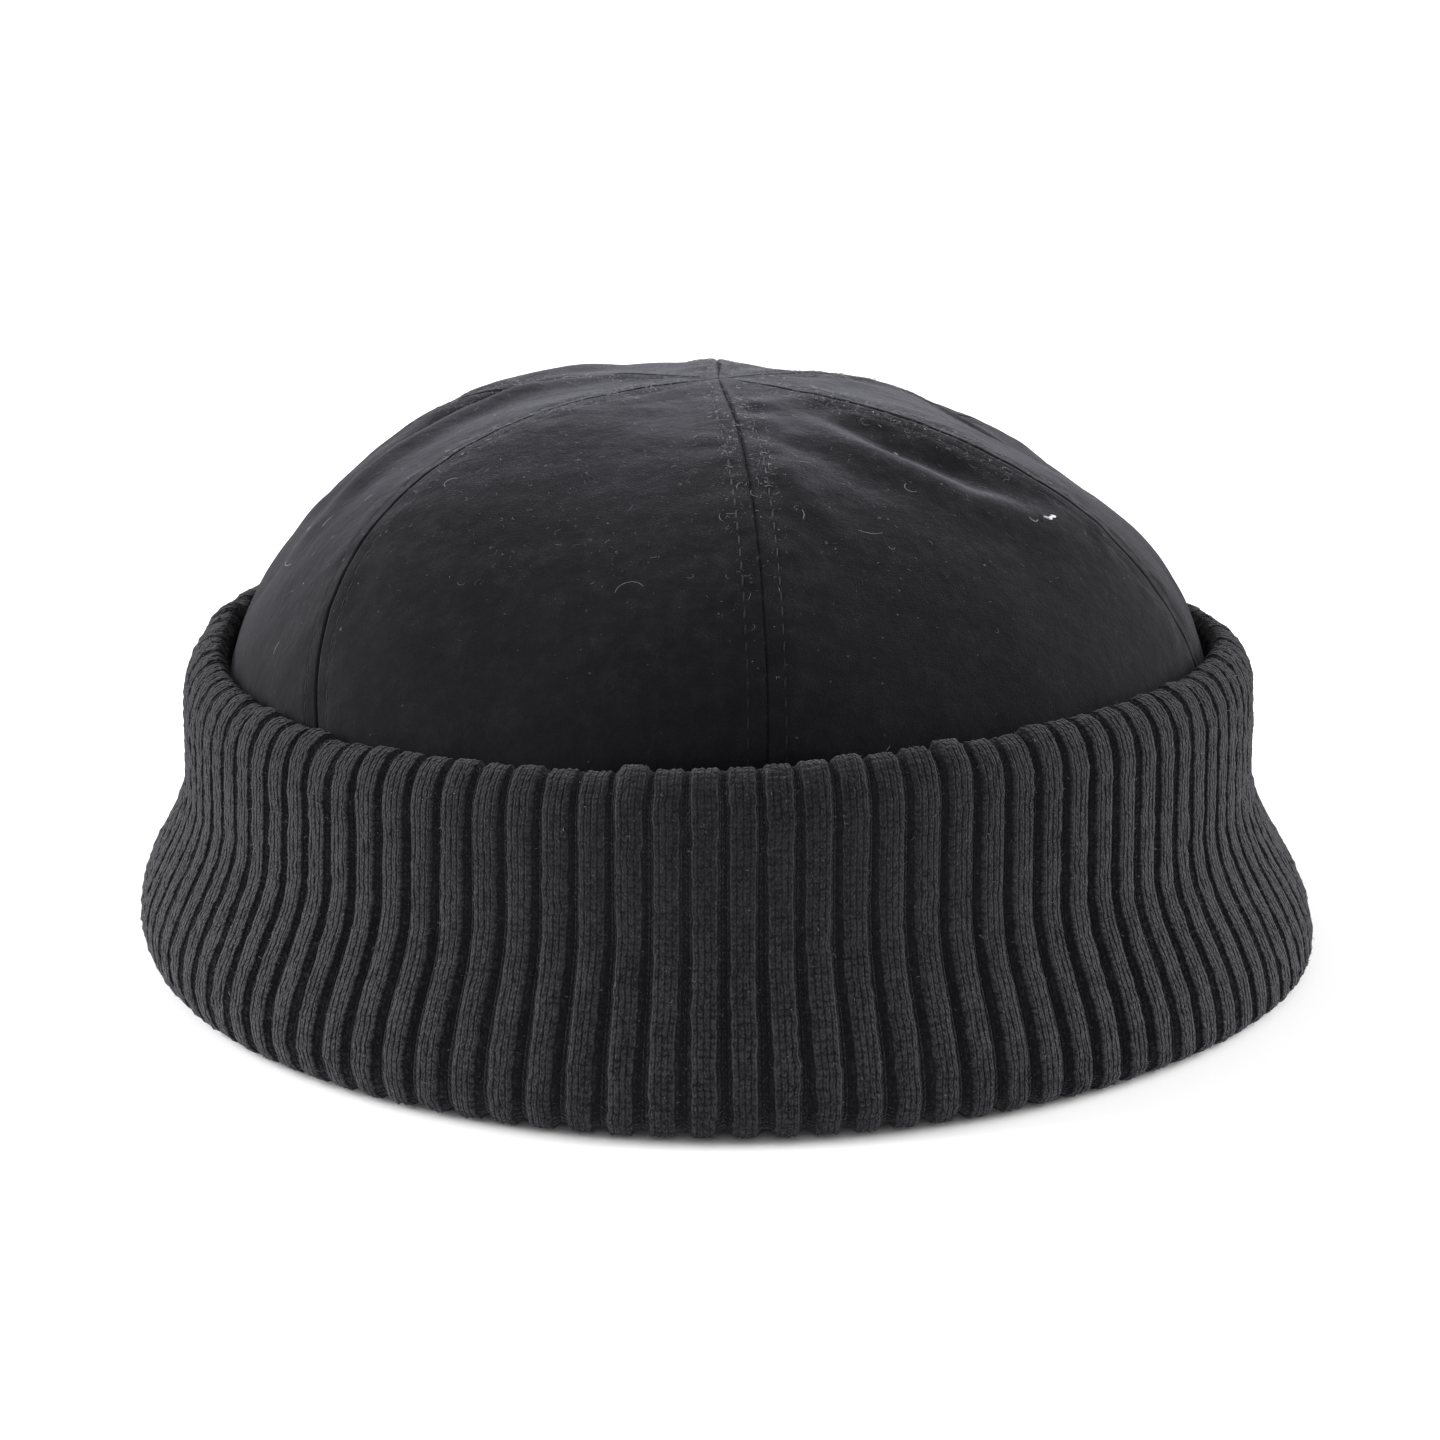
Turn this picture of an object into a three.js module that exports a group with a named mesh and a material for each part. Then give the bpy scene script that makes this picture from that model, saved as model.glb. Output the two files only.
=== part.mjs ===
// Fisherman beanie: a crown of six cloth panels over a deep turned-up cuff of rib knit.
// Millimetres, +Z up, resting on z = 0. The front faces -Y.
// A bearing is an angle in degrees from the front, growing towards +X.
import * as THREE from "three";

// Head opening, measured inside the crown cloth.
const headWidth = 158;
const headDepth = 188;

// Crown
const clothThickness = 2;
const crownHeight = 94.2;
const wallHeight = 45;
const seamGap = 0.3;
const panelFlatness = 2.6;

// Cuff
const cuffHeight = 52;
const foldThickness = 7;
const shoulderHeight = 9;
const lipWidth = 1.5;
const lipHeight = 3;
const seatHeight = 28;
const seatClearance = 0.3;
const flareWidth = 9;
const flareHeight = 31;
const footRounding = 3.5;
const throatHeight = 15;
const throatOpening = 5;
const ribCount = 106;
const ribDepth = 1.7;
const ribPhase = 0.14;

// Round the cuff: the heights of the rim and of the widest point as shares of cuffHeight, the
// flare as a share of flareWidth, and the rounding under it as a share of footRounding.
const cuffAround = [
  { bearing: -150, rim: 1.0, widest: 0.1, flare: 0.92, rounding: 1.2 },
  { bearing: -105, rim: 1.0, widest: 0.14, flare: 0.86, rounding: 1.5 },
  { bearing: -70, rim: 0.98, widest: 0.15, flare: 0.87, rounding: 1.4 },
  { bearing: -40, rim: 0.99, widest: 0.11, flare: 0.86, rounding: 1.2 },
  { bearing: 0, rim: 1.04, widest: 0.08, flare: 0.88, rounding: 0.8 },
  { bearing: 40, rim: 1.07, widest: 0.06, flare: 0.88, rounding: 0.9 },
  { bearing: 80, rim: 1.03, widest: 0.04, flare: 1.18, rounding: 0.6 },
  { bearing: 115, rim: 0.94, widest: 0.05, flare: 1.16, rounding: 0.6 },
  { bearing: 160, rim: 0.96, widest: 0.06, flare: 1.0, rounding: 0.8 },
];

// Up the outside of the cuff from its widest point to the roll: share of that height, and
// the ribs' relief as a share of ribDepth.
const flareRows = [
  { climb: 0, relief: 1 },
  { climb: 0.2, relief: 1 },
  { climb: 0.4, relief: 1 },
  { climb: 0.66, relief: 1 },
];

// Over the shoulder at the rim: turn in degrees from the outside to the crest, and the ribs'
// relief.
const shoulderRows = [
  { turn: 0, relief: 1 },
  { turn: 45, relief: 0.85 },
  { turn: 90, relief: 0.4 },
];

// Across one rib: place as a share of the pitch from the middle of the gutter, and whether
// it stands on the rib or in the gutter.
const ribSection = [
  { place: -0.09, raised: false },
  { place: 0.09, raised: false },
  { place: 0.21, raised: true },
  { place: 0.79, raised: true },
];

// Round the crown: how full the dome is, as powers of its section. A higher side power keeps
// the wall upright for longer, and a higher top power keeps the top flat for longer.
const domeAround = [
  { bearing: -135, side: 2.3, top: 1.95 },
  { bearing: -90, side: 2.35, top: 2.05 },
  { bearing: -50, side: 2.6, top: 1.95 },
  { bearing: 0, side: 2.4, top: 1.8 },
  { bearing: 45, side: 2.4, top: 1.8 },
  { bearing: 73, side: 2.45, top: 1.78 },
  { bearing: 100, side: 2.3, top: 1.75 },
  { bearing: 135, side: 2.2, top: 1.8 },
  { bearing: 180, side: 2.3, top: 1.75 },
];

// Panels in order round the crown: the bearing of the seam at each one's left edge, at the
// cuff, and how far that seam swings by the time it reaches the top.
const panels = [
  { name: "crown_panel_front_left", bearing: -49, swing: -20 },
  { name: "crown_panel_front_right", bearing: 5, swing: 2 },
  { name: "crown_panel_right", bearing: 76, swing: -14 },
  { name: "crown_panel_back_right", bearing: 130, swing: -8 },
  { name: "crown_panel_back_left", bearing: 187, swing: -8 },
  { name: "crown_panel_left", bearing: 245, swing: 0 },
];

// Up each panel: climb from -1 at its foot, through 0 where the wall starts to curve in, nearly
// to 1 where the panels meet, and the number of facets across it there.
const panelRows = [
  { climb: -1, facets: 10 },
  { climb: -0.4, facets: 10 },
  { climb: 0, facets: 10 },
  { climb: 0.12, facets: 10 },
  { climb: 0.24, facets: 10 },
  { climb: 0.36, facets: 10 },
  { climb: 0.48, facets: 10 },
  { climb: 0.6, facets: 10 },
  { climb: 0.72, facets: 10 },
  { climb: 0.84, facets: 10 },
  { climb: 0.93, facets: 10 },
  { climb: 0.996, facets: 2 },
];

// Soft folds and dents of the crown: each is a ridge between two points, given by bearing and
// climb. Width and lift are shares of foldWidth and foldLift; a negative lift is a dent.
const foldWidth = 8;
const foldLift = 2;
const crownFolds = [
  { from: [40, 0.84], to: [45, 0.64], width: 0.7, lift: 0.5 },
  { from: [46, 0.63], to: [62, 0.5], width: 0.8, lift: 0.55 },
  { from: [48, 0.8], to: [58, 0.6], width: 0.7, lift: -0.55 },
  { from: [15, 0.7], to: [20, 0.6], width: 0.5, lift: 0.25 },
  { from: [-113, 0.86], to: [-95, 0.7], width: 1.3, lift: 0.6 },
  { from: [-92, 0.67], to: [-80, 0.52], width: 1, lift: 0.3 },
  { from: [-104, 0.92], to: [-100, 0.9], width: 0.8, lift: -0.4 },
  { from: [-100, 0.36], to: [-80, 0.3], width: 1.4, lift: -0.4 },
  { from: [88, 0.62], to: [118, 0.62], width: 1.5, lift: -0.85 },
  { from: [85, 0.28], to: [118, 0.3], width: 1.4, lift: 0.7 },
  { from: [-30, 0.5], to: [-22, 0.2], width: 1.8, lift: -0.35 },
  { from: [28, 0.42], to: [36, 0.16], width: 1.8, lift: -0.35 },
  { from: [155, 0.75], to: [140, 0.5], width: 1, lift: 0.5 },
  { from: [165, 0.7], to: [152, 0.45], width: 1, lift: -0.4 },
  { from: [-150, 0.5], to: [-145, 0.2], width: 1.8, lift: -0.4 },
];

// Materials
const clothFinish = new THREE.MeshStandardMaterial({
  name: "black_wool_cloth",
  color: 0x1b1b1d,
  roughness: 0.95,
  metalness: 0,
});
const knitFinish = new THREE.MeshStandardMaterial({
  name: "black_rib_knit",
  color: 0x151517,
  roughness: 0.97,
  metalness: 0,
});

const fullTurn = 360;
const radians = THREE.MathUtils.degToRad;
const degrees = THREE.MathUtils.radToDeg;
const wrap = THREE.MathUtils.euclideanModulo;

// Distances outside the head's outline.
const crownFace = clothThickness;
const cuffBack = crownFace + seatClearance;
const waistFace = cuffBack + foldThickness;

// Value of one column of a table at a bearing, joined smoothly all the way round.
function around(table, bearing, column) {
  const count = table.length;
  const first = table[0].bearing;
  const place = wrap(bearing - first, fullTurn) + first;
  const row = table.findLastIndex((entry) => entry.bearing <= place);
  const at = (index) => {
    const laps = Math.floor(index / count);
    const entry = table[index - laps * count];
    return { bearing: entry.bearing + laps * fullTurn, value: entry[column] };
  };
  const [before, from, to, after] = [row - 1, row, row + 1, row + 2].map(at);
  const span = to.bearing - from.bearing;
  const share = (place - from.bearing) / span;
  const startSlope = ((to.value - before.value) / (to.bearing - before.bearing)) * span;
  const endSlope = ((after.value - from.value) / (after.bearing - from.bearing)) * span;
  const square = share * share;
  const cube = square * share;
  return (
    (2 * cube - 3 * square + 1) * from.value +
    (cube - 2 * square + share) * startSlope +
    (3 * square - 2 * cube) * to.value +
    (cube - square) * endSlope
  );
}

// Point beside the head's outline: offset is the distance outside it.
function headPoint(bearing, offset, height) {
  const angle = radians(bearing);
  const halfWidth = headWidth / 2;
  const halfDepth = headDepth / 2;
  const normal = new THREE.Vector2(halfDepth * Math.sin(angle), -halfWidth * Math.cos(angle));
  normal.normalize();
  return new THREE.Vector3(
    halfWidth * Math.sin(angle) + offset * normal.x,
    -halfDepth * Math.cos(angle) + offset * normal.y,
    height,
  );
}

// Bearings of places given as shares of the way round, measured along the cuff's waist.
function evenBearings(places) {
  const steps = 720;
  const lengths = [0];
  for (let step = 1; step <= steps; step += 1) {
    const from = headPoint(((step - 1) * fullTurn) / steps, waistFace, 0);
    const to = headPoint((step * fullTurn) / steps, waistFace, 0);
    lengths.push(lengths[step - 1] + to.distanceTo(from));
  }
  return places.map((place) => {
    const laps = Math.floor(place);
    const wanted = (place - laps) * lengths[steps];
    const step = lengths.findLastIndex((length) => length <= wanted);
    const share = (wanted - lengths[step]) / (lengths[step + 1] - lengths[step]);
    return ((step + share) * fullTurn) / steps + laps * fullTurn;
  });
}

// Collects the points and triangles of one closed solid. Rows run towards growing bearings,
// and a band from a lower row to a higher one faces away from the head.
class SolidBuilder {
  points = [];
  triangles = [];

  // Adds a row of points and gives back their numbers.
  row(points) {
    return points.map((point) => this.points.push(point) - 1);
  }

  // Joins two rows, of any two counts, with triangles.
  band(first, second, closed) {
    const firstSpans = closed ? first.length : first.length - 1;
    const secondSpans = closed ? second.length : second.length - 1;
    let one = 0;
    let two = 0;
    while (one < firstSpans || two < secondSpans) {
      const corner = [first[one % first.length], second[two % second.length]];
      const stepFirst = (one + 1) * secondSpans <= (two + 1) * firstSpans;
      if (two >= secondSpans || (stepFirst && one < firstSpans)) {
        one += 1;
        this.triangles.push(corner[0], first[one % first.length], corner[1]);
      } else {
        two += 1;
        this.triangles.push(corner[0], second[two % second.length], corner[1]);
      }
    }
  }

  // Joins each row to the next, and the last to the first.
  loop(rows, closed) {
    rows.forEach((row, index) => this.band(row, rows[(index + 1) % rows.length], closed));
  }

  mesh(name, material) {
    const geometry = new THREE.BufferGeometry().setFromPoints(this.points);
    geometry.setIndex(this.triangles);
    geometry.computeVertexNormals();
    const mesh = new THREE.Mesh(geometry, material);
    mesh.name = name;
    return mesh;
  }
}

// Height and offset of the cuff's outer face at a bearing, for each row from foot to rim.
function cuffOutline(bearing) {
  const rim = around(cuffAround, bearing, "rim") * cuffHeight;
  const widest = around(cuffAround, bearing, "widest") * cuffHeight;
  const flare = around(cuffAround, bearing, "flare") * flareWidth;
  const rounding = around(cuffAround, bearing, "rounding") * footRounding;
  const shoulder = rim - shoulderHeight;
  const shoulderWidth = foldThickness - lipWidth;
  const foot = { height: 0, offset: waistFace + flare - rounding, relief: 0.9 };
  const wall = flareRows.map(({ climb, relief }) => {
    const height = widest + climb * (shoulder - widest);
    const share = Math.min((height - widest) / (flareHeight - widest), 1);
    return { height, offset: waistFace + flare * Math.cos((share * Math.PI) / 2) ** 2, relief };
  });
  const top = shoulderRows.map(({ turn, relief }) => {
    const height = shoulder + shoulderHeight * Math.sin(radians(turn));
    const offset = waistFace - shoulderWidth * (1 - Math.cos(radians(turn)));
    return { height, offset, relief };
  });
  return [foot, ...wall, ...top];
}

// Height and offset of the cuff's plain back and inside at a bearing, from the rim down.
function cuffLining(bearing) {
  const rim = around(cuffAround, bearing, "rim") * cuffHeight;
  return [
    { height: rim - lipHeight, offset: cuffBack },
    { height: seatHeight, offset: cuffBack },
    { height: seatHeight, offset: 0 },
    { height: throatHeight, offset: 0 },
    { height: 0, offset: throatOpening },
  ];
}

// The whole cuff: ribbed outside, rolled at the rim, open below the crown.
function makeCuff() {
  const builder = new SolidBuilder();
  const ribs = Array.from({ length: ribCount }, (_, rib) => rib + ribPhase);
  const places = ribs.flatMap((rib) => ribSection.map(({ place }) => (rib + place) / ribCount));
  const raised = ribs.flatMap(() => ribSection.map((point) => point.raised));
  const ribBearings = evenBearings(places);
  const plainBearings = evenBearings(ribs.map((rib) => rib / ribCount));
  const outside = ribBearings.map((bearing, index) =>
    cuffOutline(bearing).map(({ height, offset, relief }) => {
      const depth = raised[index] ? 0 : relief * ribDepth;
      return headPoint(bearing, offset - depth, height);
    }),
  );
  const inside = plainBearings.map((bearing) =>
    cuffLining(bearing).map(({ height, offset }) => headPoint(bearing, offset, height)),
  );
  const rows = [outside, inside].flatMap((columns) =>
    columns[0].map((_, row) => builder.row(columns.map((column) => column[row]))),
  );
  builder.loop(rows, true);
  return builder.mesh("rib_cuff", knitFinish);
}

// Point of the plain dome, before its panels are flattened and folded, with the way out of it.
// Inset is the distance in from the outer face.
function domePoint(bearing, climb, inset) {
  const angle = (Math.max(climb, 0) * Math.PI) / 2;
  const size = Math.cos(angle) ** (2 / around(domeAround, bearing, "side"));
  const lift = Math.sin(angle) ** (2 / around(domeAround, bearing, "top"));
  const foot = seatHeight + seatClearance;
  const wall = wallHeight + Math.min(climb, 0) * (wallHeight - foot);
  const rise = crownHeight - wallHeight;
  const steepness = new THREE.Vector3(4 / headWidth ** 2, 4 / headDepth ** 2, 1);
  const point = headPoint(bearing, crownFace - inset, 0).multiplyScalar(size);
  const outward = point.clone().multiply(steepness).setZ(lift / rise).normalize();
  return { point: point.setZ(wall + (rise - inset) * lift), outward };
}

// Lift of the crown's surface by its folds at a point of the dome, in mm.
function foldHeight(point) {
  return crownFolds.reduce((total, { from, to, width, lift }) => {
    const ridge = new THREE.Line3(domePoint(...from, 0).point, domePoint(...to, 0).point);
    const nearest = ridge.closestPointToPoint(point, true, new THREE.Vector3());
    const away = nearest.distanceTo(point) / (width * foldWidth);
    return total + lift * foldLift * Math.exp(-away * away);
  }, 0);
}

// Point of a crown panel. Across runs from 0 to 1 between its seams.
function crownPoint(bearing, climb, across, inset) {
  const { point, outward } = domePoint(bearing, climb, inset);
  const fold = foldHeight(domePoint(bearing, climb, 0).point);
  const pull = panelFlatness * 4 * across * (1 - across) * Math.sin(Math.PI * Math.max(climb, 0));
  return point.addScaledVector(outward, fold - pull);
}

// One panel of the crown, between its own seam and the next one.
function makePanel(panel, index) {
  const builder = new SolidBuilder();
  const next = panels[(index + 1) % panels.length];
  const nextBearing = panel.bearing + wrap(next.bearing - panel.bearing, fullTurn);
  const face = (inset) =>
    panelRows.map(({ climb, facets }) => {
      const swing = Math.max(climb, 0);
      const seam = domePoint(panel.bearing, climb, inset).point;
      const edge = degrees(seamGap / 2 / Math.hypot(seam.x, seam.y));
      const start = panel.bearing + panel.swing * swing + edge;
      const end = nextBearing + next.swing * swing - edge;
      const points = Array.from({ length: facets + 1 }, (_, column) => {
        const across = column / facets;
        return crownPoint(start + across * (end - start), climb, across, inset);
      });
      return builder.row(points);
    });
  const outer = face(0);
  const inner = face(clothThickness);
  builder.loop([...outer, ...inner.toReversed()], false);
  const leftEdge = (row) => row.at(0);
  const rightEdge = (row) => row.at(-1);
  builder.band(outer.map(leftEdge), inner.map(leftEdge), false);
  builder.band(inner.map(rightEdge), outer.map(rightEdge), false);
  return builder.mesh(panel.name, clothFinish);
}

const beanie = new THREE.Group();
beanie.add(makeCuff(), ...panels.map(makePanel));
const middle = new THREE.Box3().setFromObject(beanie).getCenter(new THREE.Vector3());
beanie.position.set(-middle.x, -middle.y, 0);

export default beanie;
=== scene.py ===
"""Looks of a black fisherman beanie: six wool cloth panels over a turned-up rib-knit cuff.

+Z is up and the front of the cap faces -Y. Shapes are worked out in millimetres, as in the
CAD source, and each mesh is made in metres. A bearing is an angle in degrees from the front,
growing towards +X. A climb runs up a crown panel: -1 at its foot, 0 where the wall starts to
curve in, 1 at the apex.
"""

import logging
import math
from collections.abc import Sequence
from dataclasses import dataclass, field, replace
from enum import Enum

import bpy
import numpy as np
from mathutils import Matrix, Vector


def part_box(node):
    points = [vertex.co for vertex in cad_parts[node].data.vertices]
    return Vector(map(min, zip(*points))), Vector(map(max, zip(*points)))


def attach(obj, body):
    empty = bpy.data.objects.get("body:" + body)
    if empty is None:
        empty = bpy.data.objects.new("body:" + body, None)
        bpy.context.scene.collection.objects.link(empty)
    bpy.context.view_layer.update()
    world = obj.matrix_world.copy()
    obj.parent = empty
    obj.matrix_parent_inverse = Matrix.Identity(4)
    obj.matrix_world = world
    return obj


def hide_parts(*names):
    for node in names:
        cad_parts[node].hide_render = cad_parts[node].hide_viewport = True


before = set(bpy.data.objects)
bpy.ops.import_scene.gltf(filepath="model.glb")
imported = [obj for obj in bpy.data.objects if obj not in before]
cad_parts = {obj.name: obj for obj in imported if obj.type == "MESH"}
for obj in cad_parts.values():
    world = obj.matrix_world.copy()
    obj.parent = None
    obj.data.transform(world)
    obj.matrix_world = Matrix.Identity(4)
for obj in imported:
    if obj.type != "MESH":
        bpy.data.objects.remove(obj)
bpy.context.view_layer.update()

Array = np.ndarray
Colour = tuple[float, float, float]

METRES = 0.001
SMALLEST = 1e-9
FULL_TURN = 360.0
BODY = "root"
SHADE = "shade"
# Octaves of a rough and of a smooth noise, its middle, and the span that it mostly fills
FINE_DETAIL = 3.0
SMOOTH_DETAIL = 1.0
NOISE_MIDDLE = 0.5
GRAIN_SPAN = (0.3, 0.7)
# Places of a Mix node's colour sockets
MIX_SHARE, MIX_FIRST, MIX_SECOND, MIX_RESULT = 0, 6, 7, 2

log = logging.getLogger("beanie")


class MaterialSlot(Enum):
    """The record's material slots."""

    WOOL_CLOTH = "wool_cloth"
    RIB_KNIT = "rib_knit"


class RoundTable:
    """A value that is given at a few bearings and changes smoothly all the way round."""

    def __init__(self, rows: Sequence[tuple[float, float]]) -> None:
        """Keeps the table with the rows that continue it past both of its ends.

        Args:
            rows: Pairs of bearing and value, in order of bearing.
        """
        bearings = np.array([row[0] for row in rows])
        values = np.array([row[1] for row in rows])
        self.first = bearings[0]
        self.bearings = np.concatenate(
            [bearings[-1:] - FULL_TURN, bearings, bearings[:2] + FULL_TURN]
        )
        self.values = np.concatenate([values[-1:], values, values[:2]])

    def at(self, bearing: Array) -> Array:
        """Gives the value at each bearing.

        Args:
            bearing: Bearings in degrees.

        Returns:
            Values in the table's own unit.
        """
        place = np.mod(bearing - self.first, FULL_TURN) + self.first
        row = np.searchsorted(self.bearings[1:-2], place, side="right")
        before, start, end, after = (self.bearings[row + step] for step in (-1, 0, 1, 2))
        low, value, following, high = (self.values[row + step] for step in (-1, 0, 1, 2))
        span = end - start
        share = (place - start) / span
        start_slope = (following - low) / (end - before) * span
        end_slope = (high - value) / (after - start) * span
        square, cube = share**2, share**3
        return (
            (2 * cube - 3 * square + 1) * value
            + (cube - 2 * square + share) * start_slope
            + (3 * square - 2 * cube) * following
            + (cube - square) * end_slope
        )


def smooth_step(value: Array, low: float, high: float) -> Array:
    """Gives 0 below low, 1 above high and a smooth rise in between."""
    share = np.clip((value - low) / (high - low), 0.0, 1.0)
    return share * share * (3.0 - 2.0 * share)


def bell(value: Array, middle: float | Array, width: float) -> Array:
    """Gives a smooth bump of height 1 at middle that falls away over width."""
    return np.exp(-(((value - middle) / width) ** 2))


def unit(vectors: Array) -> Array:
    """Gives vectors of length 1 in the same directions."""
    return vectors / np.linalg.norm(vectors, axis=-1, keepdims=True)


@dataclass(frozen=True)
class Ripple:
    """Soft unevenness made of crossing waves.

    Height and mean wavelength are in millimetres. The seed picks the waves.
    """

    height: float
    wavelength: float
    seed: int
    waves: int = 14
    lengths: tuple[float, float] = (0.7, 1.5)

    def at(self, points: Array) -> Array:
        """Gives heights over points in space.

        Args:
            points: Points in millimetres.

        Returns:
            Heights in millimetres with a mean of 0.
        """
        dice = np.random.default_rng(self.seed)
        direction = unit(dice.normal(size=(self.waves, 3)))
        length = self.wavelength * dice.uniform(*self.lengths, size=self.waves)
        phase = dice.uniform(0, 2 * math.pi, size=self.waves)
        angles = points @ (direction * (2 * math.pi / length)[:, None]).T + phase
        return self.height * np.cos(angles).sum(axis=-1) * math.sqrt(2.0 / self.waves)


@dataclass(frozen=True)
class HeadForm:
    """The head opening, an ellipse measured inside the crown cloth, in millimetres.

    Its outline is measured in as many steps as samples, less one.
    """

    width: float = 158.0
    depth: float = 188.0
    samples: int = 1441

    def point(self, bearing: Array, offset: Array, height: Array) -> Array:
        """Gives points beside the outline.

        Args:
            bearing: Bearings in degrees.
            offset: Distances outside the outline.
            height: Heights above the floor.

        Returns:
            Points in millimetres, with x, y and z along the last axis.
        """
        angle = np.radians(bearing)
        half_width, half_depth = self.width / 2, self.depth / 2
        side, ahead = half_depth * np.sin(angle), -half_width * np.cos(angle)
        length = np.hypot(side, ahead)
        x = half_width * np.sin(angle) + offset * side / length
        y = -half_depth * np.cos(angle) + offset * ahead / length
        return np.stack(np.broadcast_arrays(x, y, height), axis=-1)

    def even_bearings(self, places: Array, offset: float) -> Array:
        """Gives the bearings of places measured along a line round the head.

        Args:
            places: Shares of the way round, from the front. They may pass 1.
            offset: Distance of the line outside the outline.

        Returns:
            Bearings in degrees.
        """
        steps = np.linspace(0.0, FULL_TURN, self.samples)
        line = self.point(steps, offset, 0.0)
        lengths = np.linalg.norm(np.diff(line, axis=0), axis=1)
        travelled = np.concatenate([[0.0], np.cumsum(lengths)])
        laps = np.floor(places)
        return np.interp((places - laps) * travelled[-1], travelled, steps) + laps * FULL_TURN


@dataclass
class MeshMaker:
    """Collects points and faces in millimetres and makes one Blender object of them."""

    points: list[Array] = field(default_factory=list)
    faces: list[Array] = field(default_factory=list)
    shades: list[Array] = field(default_factory=list)
    count: int = 0

    def add_points(self, points: Array) -> Array:
        """Adds points of any grid shape.

        Args:
            points: Points in millimetres, with x, y and z along the last axis.

        Returns:
            Their numbers, in the same grid.
        """
        flat = points.reshape(-1, 3)
        numbers = np.arange(self.count, self.count + len(flat))
        self.points.append(flat)
        self.count += len(flat)
        return numbers.reshape(points.shape[:-1])

    def add_grid(self, numbers: Array, closed_rows: bool = False, closed: bool = False) -> None:
        """Adds the quads of a grid of points.

        Args:
            numbers: Point numbers by row and column.
            closed_rows: Whether the last row joins the first.
            closed: Whether the last column joins the first.
        """
        if closed_rows:
            numbers = np.vstack([numbers, numbers[:1]])
        if closed:
            numbers = np.hstack([numbers, numbers[:, :1]])
        low, high = numbers[:-1], numbers[1:]
        quads = np.stack([low[:, :-1], low[:, 1:], high[:, 1:], high[:, :-1]], axis=-1)
        self.faces.append(quads.reshape(-1, 4))

    def make(self, name: str, shift: Array, material: bpy.types.Material) -> bpy.types.Object:
        """Makes the object, smooth-shaded, and puts it in the scene.

        Args:
            name: Name of the object and of its mesh.
            shift: Move in millimetres into the row frame.
            material: The object's only material.

        Returns:
            The new object, at the origin.
        """
        points = (np.vstack(self.points) + shift) * METRES
        faces = np.vstack(self.faces)
        mesh = bpy.data.meshes.new(name)
        mesh.vertices.add(len(points))
        mesh.vertices.foreach_set("co", points.astype(np.float32).ravel())
        mesh.loops.add(faces.size)
        mesh.loops.foreach_set("vertex_index", faces.astype(np.int32).ravel())
        mesh.polygons.add(len(faces))
        mesh.polygons.foreach_set("loop_start", np.arange(0, faces.size, 4, dtype=np.int32))
        mesh.polygons.foreach_set("use_smooth", np.ones(len(faces), dtype=bool))
        mesh.update(calc_edges=True)
        mesh.validate()
        if self.shades:
            shade = mesh.attributes.new(SHADE, "FLOAT", "POINT")
            shade.data.foreach_set("value", np.concatenate(self.shades).astype(np.float32))
        mesh.materials.append(material)
        made = bpy.data.objects.new(name, mesh)
        bpy.context.scene.collection.objects.link(made)
        return made


@dataclass
class Surface:
    """Points of a finished surface, the way out of it there, and how much lint each catches."""

    points: Array
    outward: Array
    catch: Array

    @classmethod
    def of_grid(cls, grid: Array, closed: bool = False) -> "Surface":
        """Takes a surface from a grid of points.

        Args:
            grid: Points by row and column, with the outside towards the viewer when rows
                run up and columns run right.
            closed: Whether the last column joins the first.

        Returns:
            The surface.
        """
        if closed:
            right = np.roll(grid, -1, axis=1) - np.roll(grid, 1, axis=1)
        else:
            right = np.gradient(grid, axis=1) * 2
        up = np.gradient(grid, axis=0)
        cross = np.cross(right, up).reshape(-1, 3)
        area = np.maximum(np.linalg.norm(cross, axis=1), SMALLEST)
        return cls(grid.reshape(-1, 3), cross / area[:, None], area)

    @classmethod
    def joined(cls, parts: Sequence["Surface"]) -> "Surface":
        """Joins several surfaces into one."""
        return cls(
            np.vstack([part.points for part in parts]),
            np.vstack([part.outward for part in parts]),
            np.concatenate([part.catch for part in parts]),
        )

    def scatter(self, count: int, dice: np.random.Generator) -> Array:
        """Picks points over the surface by how much they catch, and gives their numbers."""
        return dice.choice(len(self.points), size=count, p=self.catch / self.catch.sum())

    def nearest(self, point: Array) -> int:
        """Gives the number of the point nearest to a place."""
        return int(np.argmin(np.linalg.norm(self.points - point, axis=1)))


def add_tubes(
    maker: MeshMaker, lines: Array, upward: Array, radius: Array, sides: int, shade: Array
) -> None:
    """Adds closed tubes along short lines.

    Args:
        maker: Where the tubes go.
        lines: Points of the centrelines, by tube and section.
        upward: A direction across each tube, by tube and section.
        radius: Radius by tube and section.
        sides: Number of flat sides.
        shade: One shade per tube, from 0 to 1.
    """
    along = unit(np.gradient(lines, axis=1))
    across = unit(np.cross(along, upward))
    over = np.cross(across, along)
    turn = np.arange(sides) * 2 * math.pi / sides
    ring = (
        across[:, :, None] * np.cos(turn)[:, None] + over[:, :, None] * np.sin(turn)[:, None]
    )
    points = lines[:, :, None] + ring * radius[:, :, None, None]
    numbers = maker.add_points(points)
    wrapped = np.concatenate([numbers, numbers[:, :, :1]], axis=2)
    low, high = wrapped[:, :-1], wrapped[:, 1:]
    quads = np.stack([low[..., :-1], low[..., 1:], high[..., 1:], high[..., :-1]], axis=-1)
    maker.faces.append(quads.reshape(-1, 4))
    for corner in range(1, sides - 1, 2):
        fan = (0, corner, corner + 1, corner + 2)
        maker.faces.append(numbers[:, -1][:, fan])
        maker.faces.append(numbers[:, 0][:, fan[::-1]])
    maker.shades.append(np.repeat(shade, lines.shape[1] * sides))


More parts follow.
